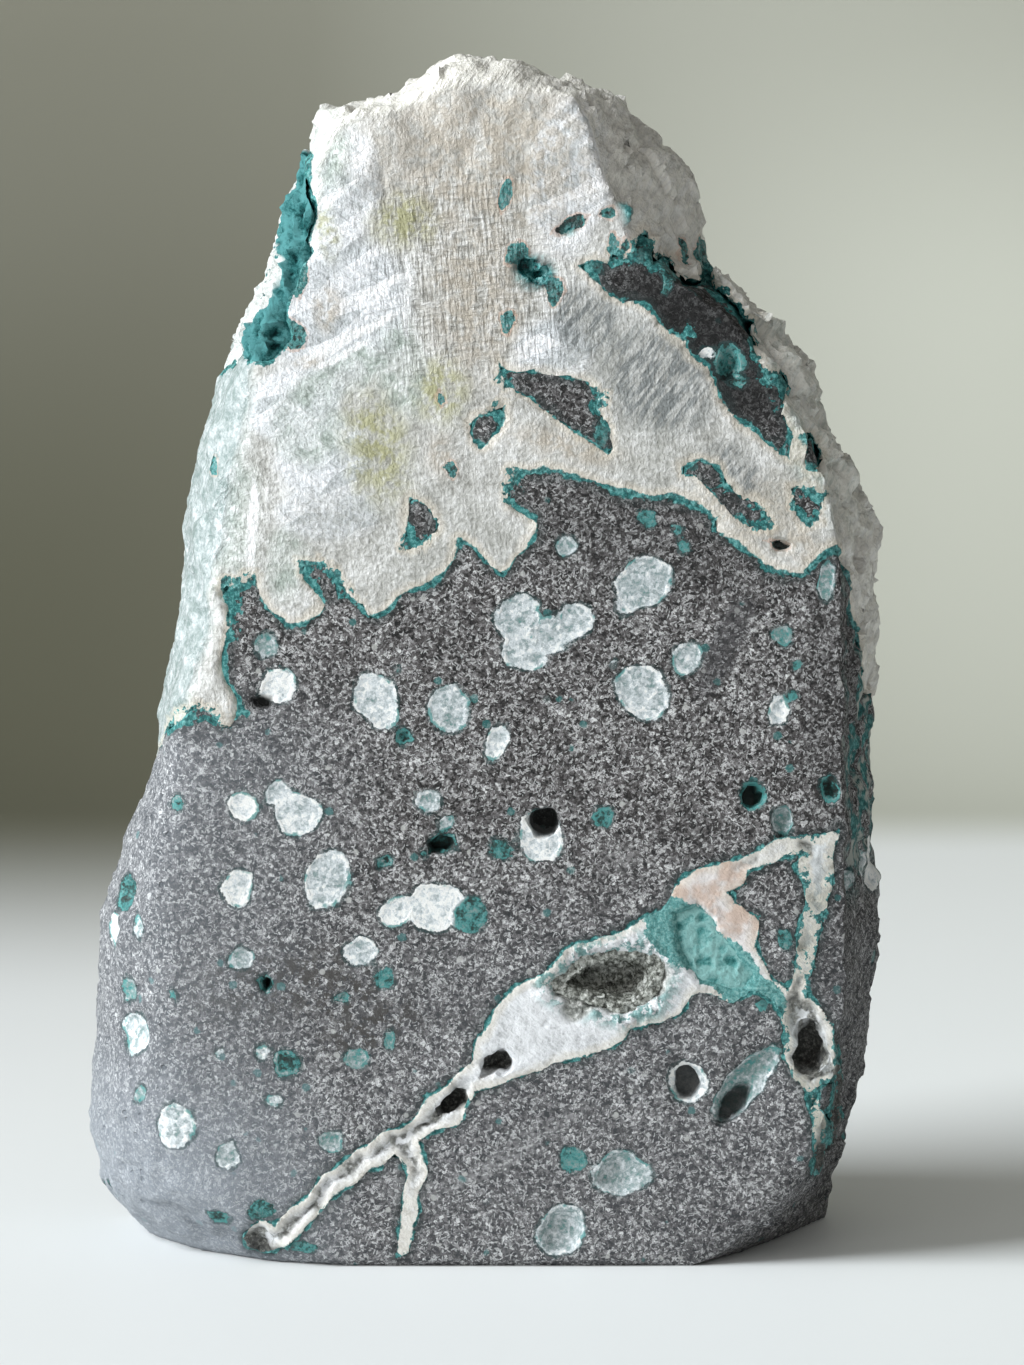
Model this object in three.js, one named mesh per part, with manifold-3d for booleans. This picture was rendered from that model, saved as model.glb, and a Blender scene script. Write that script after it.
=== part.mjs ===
// A rough apophyllite specimen: a grey vesicular basalt matrix, sawn flat in front and ground flat
// below, that carries a white crown of apophyllite and a diagonal zeolite vein.
// Millimetres, +Z up. The sawn face looks along -Y. While the solids are cut, x and z are read on
// the sawn face and y is the depth behind it; the finished group is then set on the middle of its base.
import * as THREE from 'three';
import { mergeVertices } from 'three/addons/utils/BufferGeometryUtils.js';
import Module from 'manifold-3d';

const wasm = await Module();
wasm.setup();

// Driving dimensions
const HEIGHT = 120;
const SEAM_GAP = 0.3; // air left between two minerals that touch
const VEIN_DEPTH = 9;
const VUG_DEPTH = 5.4;
const DRUSE_THICKNESS = 0.9;
const LUMP_DEPTH = 12; // celadonite on the left shoulder, measured behind the sawn face
const POCKET_DEPTH = 4.5; // celadonite pocket in the vein
const LUMP_RELIEF = 1.2; // on the broken sides and back
const CHIP_RELIEF = 0.7;
const FAR = 60; // past every side of the specimen
const IN_FRONT = -3; // a depth just ahead of the sawn face

// Where the outline was read from: an eye this far away, this much above level, at this point
const EYE_DISTANCE = 600;
const EYE_SLOPE = Math.tan(THREE.MathUtils.degToRad(8));
const EYE_CENTRE = [2.2, 58.2];

// Left and right outline, [x, z] as seen against the sawn face
const LEFT_OUTLINE = [
  [-35.3, 5.8], [-37, 7.9], [-38.2, 11.4], [-39, 16.4], [-39.2, 20.4],
  [-39.3, 26.4], [-39, 30.4], [-39.3, 34.4], [-38.7, 37.4], [-37.5, 40.4], [-35.5, 45.4], [-34, 49.4],
  [-32.8, 52.9], [-32.5, 57.4], [-32, 61.4], [-31.2, 64.4], [-30.5, 67.4], [-30, 70.4], [-30.2, 74.4],
  [-29.8, 77.4], [-29, 81.4], [-28, 85.4], [-26.8, 88.9], [-25.8, 91.9], [-24, 95.4], [-22, 98.4],
  [-20.7, 102.9], [-20, 106.4], [-19, 109.9], [-18.3, 111.4], [-17.8, 114.6], [-16.8, 116.1],
  [-14.5, 116.6], [-9.5, 117.6], [-6, 119.4], [-4, 120.6],
];
const RIGHT_OUTLINE = [
  [33.8, 6.2], [35, 8.4], [36, 13.4], [37, 18.4], [38, 26.4], [38.5, 30.4],
  [38.8, 33.4], [39, 36.4], [38.8, 40.4], [38.2, 44.4], [38, 48.4], [37.8, 52.4], [38, 56.4],
  [38.5, 62.4], [38.2, 66.4], [38.5, 71.4], [38.5, 74.4], [37.5, 77.4], [36, 79.9], [35, 81.9],
  [33.5, 83.9], [32.5, 86.4], [32.2, 89.4], [31, 91.9], [29.5, 92.9], [27.5, 94.9], [25.5, 96.4],
  [24, 97.4], [22.5, 98.9], [21.2, 101.4], [20.7, 104.9], [20.2, 108.4], [19, 109.9], [16.5, 111.9],
  [14.2, 113.9], [13.2, 115.9], [11.5, 116.9], [9, 118.1], [5, 118.4], [2.5, 119.2], [-1, 120.6],
];
// Edges of the flat sawn face, and the depth of the back, as [value, z]
const FACE_LEFT = [
  [-14, 0], [-19, 2], [-26, 6], [-30.5, 12], [-31.8, 24], [-32, 42], [-31.5, 50], [-30, 56], [-27.8, 65],
  [-25.8, 75], [-24.4, 85], [-20.8, 95], [-18, 104], [-16.4, 112], [-14, 115.5], [-8, 117.4], [-4, 119.4],
];
const FACE_RIGHT = [
  [20, 0], [24, 2], [29, 6], [33, 12], [35, 26], [35.2, 42], [34.8, 56], [34.4, 70], [33.4, 78], [30.5, 84],
  [28, 90], [23, 95], [17, 99], [13, 103], [11.7, 106], [10, 111], [8, 117], [0, 119.4],
];
const FACE_SETBACK = [[0.5, 0], [0.1, 0.7], [0, 1.8], [0, 116], [1.2, 118.4], [3.4, 120]];
const BACK_DEPTH = [
  [38, 0], [41, 1.6], [44, 5], [46.5, 16], [47.5, 34], [46.5, 50], [43, 66], [38, 82], [31, 98], [24, 110],
  [19, 116], [13, 119], [9, 120],
];
// How deep behind the face the outline lies on each side
const LEFT_DEPTH = [[24, 0], [20, 8], [15, 30], [15, 70], [10, 100], [6, 116], [5, 120]];
const RIGHT_DEPTH = [[26, 0], [22, 8], [18, 30], [18, 70], [11, 100], [8, 116], [5, 120]];

// Contact between the crown and the basalt, left to right, [x, z] on the sawn face
const CONTACT_FRONT = [
  [-50, 51], [-32.8, 52.3], [-31.8, 54.2], [-29.5, 55.4], [-29.4, 57.1], [-28.2, 56.2], [-27.1, 56.2],
  [-26, 54.7], [-24.7, 55.7], [-24.7, 57.2], [-25.7, 59], [-26.3, 62.1], [-25.4, 65.6], [-25.8, 67.2],
  [-26.5, 69], [-25.7, 69.5], [-24.7, 68.4], [-23.9, 69], [-23.9, 70.1], [-23.1, 69.9], [-22.4, 67.7],
  [-21.4, 65.9], [-19.8, 64.8], [-18.3, 65.1], [-16.8, 66.2], [-16.6, 67.2], [-18, 68.7], [-19.1, 70.2],
  [-19, 71], [-17.3, 71], [-15.5, 70], [-14.2, 68.2], [-12.9, 67.2], [-12.4, 65.9], [-11.4, 65.5],
  [-10.4, 66.2], [-9.6, 67.7], [-7.1, 68.5], [-5.3, 69.7], [-4, 71], [-3.9, 72.8], [-3.3, 73.6],
  [-1.9, 72.7], [-0.5, 71.3], [1.1, 69.6], [2, 71], [3.4, 73], [4.1, 74.1], [3.7, 75.3], [2, 76],
  [0.9, 77.2], [1, 78.6], [2, 80.7], [3.4, 80.4], [4.8, 80.7], [6.8, 80.3], [9.3, 79.5], [11.8, 78.6],
  [14.6, 78.3], [18, 78.2], [20.2, 77.2], [21.7, 75.8], [21.9, 74.7], [24.2, 73.3], [26.4, 71.6],
  [28.7, 70.5], [30.4, 70.2], [31.2, 71.3], [32.6, 72.7], [34.3, 73.7], [34.8, 71.6], [36.5, 71.9],
  [37.9, 70.5], [50, 69],
];
// The same contact at the back of the specimen
const CONTACT_BACK = [
  [-50, 42], [-34, 45], [-18, 56], [-6, 52], [8, 61], [20, 58], [30, 49], [38, 44], [50, 42],
];
// How far the contact has turned from its front line to its back line, as [share, depth]
const CONTACT_TURN = [[0, -0.4], [0.5, 11], [0.96, FAR]];

// Basalt that stands in the white crown, [x, z] on the sawn face
const WEDGE = [
  [8.3, 99.8], [10.1, 100.4], [11.6, 100.2], [11.8, 101.8], [13.6, 100.5], [14.4, 102.8], [15.1, 103.5],
  [15.6, 102.5], [15.8, 100], [17.2, 100.8], [18, 100.5], [18.4, 98.8], [20.3, 98], [21.1, 100.5],
  [22.4, 98.3], [23.1, 97.1], [24.7, 95.7], [25.9, 93.8], [26.1, 91.5], [27, 89.6], [29.1, 89],
  [29.1, 85.6], [29.8, 83.4], [29.8, 80.3], [27, 82.4], [24.7, 84], [23.3, 85.4], [22.2, 87.3],
  [21.1, 89.6], [19.7, 91], [18.8, 92.7], [17.4, 92.9], [15.2, 95.5], [11.6, 97.1], [8.5, 99.3],
];
const FISH_SHAPE = [
  [0.6, 91], [1.2, 89.7], [3.4, 89.8], [9, 88.9], [11.6, 87], [10.4, 86.2], [12.1, 83.4], [12, 81],
  [8.7, 82.6], [5.4, 85.4], [1.2, 88.2], [0.6, 89],
];
const TRIANGLE_SHAPE = [
  [-8.1, 77.3], [-6.6, 76.6], [-5.8, 75.6], [-4.9, 74], [-6.1, 72.7], [-7.8, 71.9], [-9, 72.2], [-8.1, 73.3],
  [-8.6, 74.8], [-8.5, 76.4],
];
const CHIP_SHAPE = [
  [-2.3, 84.5], [0.6, 85.6], [1.6, 86.3], [1.6, 84.5], [0.3, 82.6], [-0.8, 81.7], [-1.9, 83.1],
];
const SLIVER_SHAPE = [
  [18.7, 80.4], [21.1, 80.9], [22.8, 80.6], [23.3, 78.9], [25, 77.2], [27, 76.1], [27.7, 73.9], [25.9, 73.9],
  [23.1, 75.4], [21.9, 77.4], [20.2, 78.9], [18.9, 79.3],
];
const EDGE_BIT_HIGH = [[30.6, 83.4], [32, 82.9], [33, 81], [32.4, 79.6], [31.2, 79.8]];
const EDGE_BIT_LOW = [[29, 77.8], [30.6, 78.3], [32.9, 77.3], [32.6, 74.6], [31, 73.9], [30, 75]];
const ISLANDS = [WEDGE, FISH_SHAPE, TRIANGLE_SHAPE, CHIP_SHAPE, SLIVER_SHAPE, EDGE_BIT_HIGH, EDGE_BIT_LOW];
// The basalt behind the crown that those stand on, and its depths
const BACKING = [
  [-12, 60], [-9.5, 77.5], [-3, 85.5], [1, 91.5], [8, 98.6], [13, 101], [20, 97.4], [25.5, 90.5], [31, 84.5],
  [34.5, 76], [34, 60],
];
const BACKING_FROM = 8;
const BACKING_TO = 22;

// Diagonal vein, and the peach-white patch, wedge and knot that it runs into
const VEIN_SHAPE = [
  [-24, 4.2], [-22.8, 4.6], [-21.4, 4], [-19.4, 6.2], [-17.2, 8.7], [-14.9, 9.9], [-12.7, 11.5],
  [-10.1, 13.5], [-7.9, 14.3], [-6.2, 17.1], [-3.7, 18.8], [-1.7, 21.1], [-1.5, 22.7], [0.9, 25.6],
  [2.6, 28.3], [5.3, 29.4], [7.6, 31.9], [10.8, 33.2], [13.8, 34.2], [17.3, 35.9], [18.2, 37.4],
  [19.3, 38.8], [21.4, 40], [25.8, 40.9], [25.2, 38.5], [23.4, 37.5], [24.3, 36.4], [26.4, 35.3],
  [25.8, 32.7], [27.8, 29.4], [26.4, 27.7], [23.8, 26.8], [21, 27.7], [19.6, 27.2], [18.5, 25.3],
  [16.1, 24.6], [13.8, 24], [12.6, 22.7], [9.7, 21.2], [6.1, 20.9], [1.7, 18.6], [-1.2, 18],
  [-2, 16.6], [-3.5, 14.4], [-6, 13.6], [-7.3, 12.6], [-6.5, 9.3], [-7.3, 6.8], [-8, 3.1],
  [-8.5, 1.4], [-9.4, 1.4], [-9, 3.1], [-8.5, 6.8], [-8.2, 9.3], [-9.5, 11.4], [-11.8, 9.9],
  [-14, 8.2], [-16.5, 6.4], [-18.5, 4.2], [-20.5, 2.1], [-22.2, 1.3], [-24, 1.3], [-24.8, 2.4],
];
const VEIN_WEDGE = [
  [34.3, 44.1], [33.9, 38.5], [33.1, 35.6], [31.7, 34.7], [31.2, 38.5], [30.2, 40.4], [31, 42.4],
];
const VEIN_KNOT = [
  [29.4, 27.6], [31.6, 27.2], [33.8, 24.6], [34.4, 21.6], [33.6, 18.8], [32, 17.8], [30.2, 19], [29.2, 21.6],
  [29.2, 24.6],
];
// Strands of the vein: the line that each follows, and its width
const STRANDS = [
  { width: 1.2, line: [[25, 40.2], [28.7, 42], [31.4, 42.4], [33.6, 42.8]] },
  { width: 1.4, line: [[32.2, 36], [31.2, 31], [30.4, 26.6]] },
  { width: 1.4, line: [[25, 29.4], [27.6, 28.2], [30.4, 26.2]] },
  { width: 1, line: [[31, 19.6], [32, 17.6], [32.8, 14.4], [32.8, 8.6]] },
  { width: 1, line: [[33.8, 20.6], [34.7, 18.4], [34.6, 14.4], [34.2, 8.6]] },
];
const VUG_SHAPE = [
  [5.6, 28.6], [8.2, 31], [11.4, 32], [14.6, 32.2], [16.9, 31.2], [17.3, 29], [15.7, 26.3],
  [13.2, 25.5], [9.7, 26.3], [7.3, 27.4],
];
// Celadonite: the pocket beside the vug, and the crust on the crown's left shoulder
const POCKET_SHAPE = [
  [18.5, 35.4], [20.3, 36.3], [21.8, 35.3], [22.2, 33.8], [23.7, 32.3], [25.2, 30.6], [26.3, 29.3],
  [25.6, 28.3], [23.6, 27.9], [21.2, 28.8], [19.8, 30.2], [18.9, 32.4],
];
const SHOULDER_SHAPE = [
  [-30, 110.4], [-18.4, 110.2], [-18.2, 108.8], [-18.9, 106.8], [-17.6, 104.4], [-18.8, 102.4], [-18, 101.2],
  [-18.9, 100], [-19.3, 97.7], [-20.4, 96.2], [-20.4, 94.2], [-20, 92.4], [-21.7, 90.4], [-23.8, 90.7],
  [-24.3, 91.8], [-25.6, 90.2], [-27.2, 88.6], [-34, 88],
];

// Open vesicles: centre, half width, half height, depth, and the turn of a long one in degrees
const BASALT_PITS = [
  { at: [5.3, 44.8], size: [1.6, 1.5], depth: 3.4 },
  { at: [19.5, 18.9], size: [1.9, 1.8], depth: 2.4 },
  { at: [25.4, 18.4], size: [4.8, 1.5], depth: 2.2, turn: 50 },
  { at: [26.2, 47.3], size: [1.4, 1.3], depth: 1.4 },
  { at: [29, 44.8], size: [1.2, 1.7], depth: 1.2 },
  { at: [-22, 62.2], size: [1.2, 1.2], depth: 1.1 },
  { at: [-22.6, 56.2], size: [0.9, 0.8], depth: 1.2 },
  { at: [-4.8, 42.7], size: [0.9, 0.8], depth: 1 },
  { at: [-23.2, 37.2], size: [0.9, 0.8], depth: 1 },
  { at: [7.2, 3.6], size: [2.4, 2.3], depth: 0.9, turn: -40 },
  { at: [13, 9.3], size: [3, 2.1], depth: 0.8 },
  { at: [23.6, 89.8], size: [1.1, 1.6], depth: 1.5 },
];
const BEVEL_PITS = [
  { at: [-35.9, 27.4], size: [0.9, 1.8], depth: 1.6, behind: 3.6 },
  { at: [-35.2, 23], size: [1.9, 2.3], depth: 2.2, behind: 3.2 },
  { at: [-36.6, 36.8], size: [1.6, 2], depth: 1.8, behind: 5 },
];
const CROWN_PITS = [
  { at: [4.4, 99.2], size: [2.5, 2.2], depth: 2.2 },
  { at: [7.7, 103.4], size: [1.2, 0.8], depth: 1.2, turn: 30 },
  { at: [28.8, 72.4], size: [1.2, 0.6], depth: 1.4 },
];
const VEIN_PITS = [
  { at: [0.3, 20.4], size: [2, 1.2], depth: 3, turn: 35 },
  { at: [-3.7, 16.7], size: [1.8, 1.1], depth: 2.6, turn: 35 },
  { at: [31.7, 22.2], size: [1.3, 2.6], depth: 3 },
];
// Vesicles on the broken back and sides: [x, z, radius]
const BACK_VESICLES = [
  [-24, 12, 2.2], [-12, 30, 1.6], [2, 14, 2.6], [16, 34, 2], [-4, 42, 1.4], [24, 20, 1.7], [10, 46, 1.3],
  [-20, 40, 1.9], [-29, 26, 1.3], [-2, 27, 1.2], [29, 36, 1.6], [14, 8, 1.5],
];

// Planes of broken faces at the back: a point on each, [x, y, z], and its outward direction
const BREAKS = [
  { point: [-24, 38, 20], out: [-0.62, 0.78, -0.05] },
  { point: [27, 40, 26], out: [0.6, 0.8, 0.02] },
  { point: [4, 44.4, 40], out: [0.08, 0.97, 0.22] },
  { point: [-16, 36, 72], out: [-0.5, 0.8, 0.3] },
  { point: [18, 33, 84], out: [0.42, 0.76, 0.5] },
  { point: [0, 27, 101], out: [-0.1, 0.86, 0.5] },
  { point: [-14, 14, 111], out: [-0.66, 0.5, 0.56] },
];

// Blocky apophyllite crystals on the back of the crown: base point, half width, height, lean and turn
const CRYSTALS = [
  { at: [-15, 31, 70], half: 6.2, height: 9, lean: [-66, -16], turn: 20 },
  { at: [-7, 33, 77], half: 5, height: 9, lean: [-74, 10], turn: 48 },
  { at: [-9, 34, 66], half: 4.4, height: 8, lean: [-82, -4], turn: 32 },
  { at: [4, 32, 68], half: 6.6, height: 9, lean: [-70, 12], turn: 12 },
  { at: [12, 30, 76], half: 5.4, height: 10, lean: [-60, 22], turn: 38 },
  { at: [16, 31, 66], half: 4.6, height: 8, lean: [-76, 30], turn: 4 },
  { at: [-11, 27, 87], half: 5.4, height: 8, lean: [-58, -12], turn: 6 },
  { at: [1, 26, 88], half: 6.4, height: 9, lean: [-54, 6], turn: 41 },
  { at: [10, 23, 92], half: 4.6, height: 9, lean: [-48, 26], turn: 16 },
  { at: [-9, 20, 98], half: 4.6, height: 7, lean: [-46, -24], turn: 30 },
  { at: [1, 17, 103], half: 4.8, height: 7, lean: [-38, 4], turn: 22 },
  { at: [-22, 26, 61], half: 4.4, height: 7, lean: [-70, -34], turn: 42 },
  { at: [24, 25, 70], half: 4.6, height: 8, lean: [-62, 40], turn: 26 },
];
// Thin cleavage plates on the right shoulder: middle, half length, lean about Y and turn about Z
const PLATES = [
  { at: [22.6, 8, 98.2], half: 3.4, lean: 34, turn: 12 },
  { at: [26.4, 7, 95], half: 3, lean: 28, turn: -18 },
  { at: [28.6, 10, 92], half: 3.4, lean: 40, turn: 24 },
  { at: [30.4, 7, 89.6], half: 2.6, lean: 55, turn: 5 },
  { at: [31.4, 11, 86], half: 3.2, lean: 62, turn: -15 },
  { at: [32.6, 8, 83], half: 2.8, lean: 48, turn: 20 },
  { at: [34.6, 11, 80], half: 3.2, lean: 44, turn: -8 },
  { at: [36, 12, 76], half: 2.8, lean: 66, turn: 16 },
];
const PLATE_THICKNESS = 1.1;
const PLATE_WIDTH = 7;

// Small helpers

// A value read off a list of [value, z] pairs at a height, straight between the pairs
function readAt(pairs, z) {
  if (z <= pairs[0][1]) return pairs[0][0];
  for (let i = 1; i < pairs.length; i += 1) {
    const [value, height] = pairs[i];
    const [valueBefore, heightBefore] = pairs[i - 1];
    if (z <= height) {
      const share = (z - heightBefore) / (height - heightBefore);
      return valueBefore + (value - valueBefore) * share;
    }
  }
  return pairs[pairs.length - 1][0];
}

// An outline point seen against the face, carried back along the line of sight to its depth
function carriedBack([x, z], depthList) {
  const depth = readAt(depthList, z);
  const spread = 1 + depth / EYE_DISTANCE;
  return [
    EYE_CENTRE[0] + (x - EYE_CENTRE[0]) * spread,
    Math.max(0, EYE_CENTRE[1] + (z - EYE_CENTRE[1]) * spread - depth * EYE_SLOPE),
  ];
}

// Smooth lumps of broken stone, between -1 and 1
function lumps(x, y, z) {
  return (
    0.45 * Math.sin(0.21 * x + 0.33 * y + 1.3) * Math.cos(0.27 * z - 0.4)
    + 0.35 * Math.sin(0.52 * z + 0.41 * x + 0.7 * Math.sin(0.3 * y))
    + 0.2 * Math.sin(0.93 * y - 0.77 * x + 0.61 * z)
  );
}

// Chips of broken stone: a fixed step between -1 and 1 for each corner of the plan
function chip(corner, z) {
  const wave = Math.sin(corner * 127.1 + z * 31.7) * 43758.5;
  return 2 * (wave - Math.floor(wave)) - 1;
}

// A closed three.js geometry as a solid
function solid(geometry) {
  const bare = geometry.index ? geometry.toNonIndexed() : geometry.clone();
  bare.deleteAttribute('normal');
  bare.deleteAttribute('uv');
  const merged = mergeVertices(bare, 1e-4);
  return new wasm.Manifold(new wasm.Mesh({
    numProp: 3,
    vertProperties: new Float32Array(merged.attributes.position.array),
    triVerts: new Uint32Array(merged.index.array),
  }));
}

// A geometry from bare corner points and triangles
function geometryOf(points, triangles) {
  const geometry = new THREE.BufferGeometry();
  geometry.setAttribute('position', new THREE.Float32BufferAttribute(points.flat(), 3));
  geometry.setIndex(triangles.flat());
  return geometry;
}

// Closed rings of equal count, joined ring to ring and capped at both ends
function skin(rings) {
  const count = rings[0].length;
  const triangles = [];
  for (let r = 0; r + 1 < rings.length; r += 1) {
    for (let i = 0; i < count; i += 1) {
      const a = r * count + i;
      const b = r * count + ((i + 1) % count);
      triangles.push([a, b, b + count], [a, b + count, a + count]);
    }
  }
  return { points: rings.flat(), triangles };
}

// Adds a flat cap to a ring; flat tells which two coordinates the cap is drawn in
function cap(body, ring, start, flat, flipped) {
  const outline = ring.map((point) => new THREE.Vector2(point[flat[0]], point[flat[1]]));
  for (const [a, b, c] of THREE.ShapeUtils.triangulateShape(outline, [])) {
    body.triangles.push(flipped ? [start + c, start + b, start + a] : [start + a, start + b, start + c]);
  }
}

// A solid from rings, turned inside out if its faces point in
function ringSolid(rings, flat) {
  const body = skin(rings);
  const last = (rings.length - 1) * rings[0].length;
  cap(body, rings[0], 0, flat, true);
  cap(body, rings[rings.length - 1], last, flat, false);
  const made = solid(geometryOf(body.points, body.triangles));
  if (made.volume() > 0) return made;
  return solid(geometryOf(body.points, body.triangles.map(([a, b, c]) => [a, c, b])));
}

// An outline of [x, z] made counterclockwise
function counterclockwise(outline) {
  const area = THREE.ShapeUtils.area(outline.map(([x, z]) => new THREE.Vector2(x, z)));
  return area < 0 ? outline.slice().reverse() : outline;
}

// An outline moved outwards, or inwards for a negative distance
function grown(outline, distance) {
  const around = counterclockwise(outline);
  return around.map((point, i) => {
    const before = around[(i + around.length - 1) % around.length];
    const after = around[(i + 1) % around.length];
    const sideIn = new THREE.Vector2(point[0] - before[0], point[1] - before[1]).normalize();
    const sideOut = new THREE.Vector2(after[0] - point[0], after[1] - point[1]).normalize();
    const out = new THREE.Vector2(sideIn.y + sideOut.y, -sideIn.x - sideOut.x).normalize();
    const reach = distance / Math.max(0.5, out.dot(new THREE.Vector2(sideIn.y, -sideIn.x)));
    return [point[0] + out.x * reach, point[1] + out.y * reach];
  });
}

// An outline as a plate between two depths, narrower at the back by the taper
function plate(outline, from, to, taper = 0) {
  const front = counterclockwise(outline);
  const back = taper === 0 ? front : grown(front, -taper);
  return ringSolid([front.map(([x, z]) => [x, from, z]), back.map(([x, z]) => [x, to, z])], [0, 2]);
}

// The outline of a strand with a width along a line
function strandOutline(line, width) {
  const sides = [[], []];
  line.forEach(([x, z], i) => {
    const before = line[Math.max(0, i - 1)];
    const after = line[Math.min(line.length - 1, i + 1)];
    const across = new THREE.Vector2(before[1] - after[1], after[0] - before[0]).setLength(width / 2);
    sides[0].push([x + across.x, z + across.y]);
    sides[1].unshift([x - across.x, z - across.y]);
  });
  return [...sides[0], ...sides[1]];
}

// An ellipsoid that cuts an open vesicle into a face at a depth
function pit({ at, size, depth, turn = 0, behind = 0 }, extra = 0) {
  const ball = new THREE.IcosahedronGeometry(1, 1);
  ball.scale(size[0] + extra, depth + extra, size[1] + extra);
  ball.rotateY(THREE.MathUtils.degToRad(-turn));
  ball.translate(at[0], behind, at[1]);
  return solid(ball);
}

function joined(solids) {
  return solids.reduce((all, one) => all.add(one));
}

// The whole specimen as one solid, before it is parted into minerals

// Plan of the specimen at one height, from the sawn face's right edge round by the back to its left edge
function planAt(z, left, right) {
  const faceLeft = readAt(FACE_LEFT, z);
  const faceRight = readAt(FACE_RIGHT, z);
  const face = readAt(FACE_SETBACK, z);
  const back = readAt(BACK_DEPTH, z);
  const leftDepth = readAt(LEFT_DEPTH, z);
  const rightDepth = readAt(RIGHT_DEPTH, z);
  const middle = (left + right) / 2;
  const plan = [];
  for (let i = 0; i < 4; i += 1) {
    const t = i / 4;
    plan.push([faceRight + (right - faceRight) * t ** 0.8, face + (rightDepth - face) * t, t * 0.5]);
  }
  for (let i = 0; i < 6; i += 1) {
    const turn = (Math.PI / 2) * (i / 6);
    plan.push([
      middle + (right - middle) * Math.cos(turn) ** 0.62,
      rightDepth + (back - rightDepth) * Math.sin(turn) ** 0.7,
      Math.sin(turn),
    ]);
  }
  for (let i = 0; i < 6; i += 1) {
    const turn = (Math.PI / 2) * (i / 6);
    plan.push([
      middle + (left - middle) * Math.sin(turn) ** 0.62,
      leftDepth + (back - leftDepth) * Math.cos(turn) ** 0.7,
      Math.cos(turn),
    ]);
  }
  for (let i = 0; i <= 4; i += 1) {
    const turn = (Math.PI / 2) * (i / 4);
    plan.push([
      faceLeft + (left - faceLeft) * Math.cos(turn) ** 1.15,
      leftDepth - (leftDepth - face) * Math.sin(turn) ** 1.15,
      0,
    ]);
  }
  const grounded = Math.min(1, z / 8);
  return plan.map(([x, y, broken], corner) => {
    const relief = LUMP_RELIEF * lumps(x, y, z) + CHIP_RELIEF * chip(corner, z);
    const push = 1 + (grounded * broken * relief) / (BACK_DEPTH[0][0] / 2);
    return [middle + (x - middle) * push, y * (broken > 0 ? push : 1), z];
  });
}

const HEIGHTS = [
  0, 0.7, 1.8, 3.6, 6, 9, 13, 18, 23, 28, 33, 37, 41, 45, 49, 53, 57, 61, 65, 69, 73, 76.5, 80, 83.5, 87,
  90, 93, 95.5, 98, 101, 104, 107, 109.5, 112, 114, 115.4, 116.6, 118, 119.2,
];

// A slab of space beyond a plane, to break the stone along it
function beyond({ point, out }) {
  const box = new THREE.BoxGeometry(4 * FAR, 4 * FAR, 2 * FAR);
  box.translate(0, 0, FAR);
  const direction = new THREE.Vector3(...out).normalize();
  box.applyQuaternion(new THREE.Quaternion().setFromUnitVectors(new THREE.Vector3(0, 0, 1), direction));
  box.translate(...point);
  return solid(box);
}

function wholeStone() {
  const leftLine = LEFT_OUTLINE.map((point) => carriedBack(point, LEFT_DEPTH));
  const rightLine = RIGHT_OUTLINE.map((point) => carriedBack(point, RIGHT_DEPTH));
  const rings = HEIGHTS.map((z) => planAt(z, readAt(leftLine, z), readAt(rightLine, z)));
  return ringSolid(rings, [0, 1]).subtract(joined(BREAKS.map(beyond)));
}

// The room of the crown: all that lies above the contact, which turns from its front to its back line
function crownRoom(extra) {
  const backHeights = CONTACT_BACK.map(([x, z]) => [z, x]);
  const last = CONTACT_FRONT.length - 1;
  const rings = CONTACT_TURN.map(([share, depth]) => {
    const line = CONTACT_FRONT.map(([x, z], i) => {
      const backX = CONTACT_BACK[0][0] * (1 - (2 * i) / last);
      return [x + (backX - x) * share, z + (readAt(backHeights, backX) - z) * share];
    });
    const around = [...line, [FAR, 2 * HEIGHT], [-FAR, 2 * HEIGHT]];
    return grown(around, extra * (1 + 2 * share)).map(([x, z]) => [x, depth, z]);
  });
  return ringSolid(rings, [0, 2]);
}

// Basalt that reaches into the crown, and the backing that joins it to the matrix
function basaltInCrown(extra) {
  const stands = ISLANDS.map((shape) => plate(grown(shape, extra), IN_FRONT, BACKING_FROM + 3 + extra));
  return joined([...stands, plate(grown(BACKING, extra), BACKING_FROM - extra, BACKING_TO + extra)]);
}

function veinRoom(extra) {
  const shapes = [VEIN_SHAPE, VEIN_WEDGE, VEIN_KNOT];
  const depth = VEIN_DEPTH + extra;
  const strands = STRANDS.map(({ line, width }) => strandOutline(line, width));
  return joined([
    ...shapes.map((shape) => plate(grown(shape, extra), IN_FRONT, depth, 0.3)),
    ...strands.map((shape) => plate(grown(shape, extra), IN_FRONT, depth * 0.7)),
  ]);
}

// The hollow of the vug, narrower with depth, and smaller all round by the inset
function vugRoom(inset) {
  const mouth = grown(VUG_SHAPE, -inset);
  const middleX = mouth.reduce((sum, [x]) => sum + x, 0) / mouth.length;
  const middleZ = mouth.reduce((sum, [, z]) => sum + z, 0) / mouth.length;
  const rings = [[IN_FRONT, 1], [0.6, 1], [VUG_DEPTH * 0.6, 0.86], [VUG_DEPTH - inset, 0.55]].map(
    ([depth, share]) => mouth.map(
      ([x, z]) => [middleX + (x - middleX) * share, depth, middleZ + (z - middleZ) * share],
    ),
  );
  return ringSolid(rings, [0, 2]);
}

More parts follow.
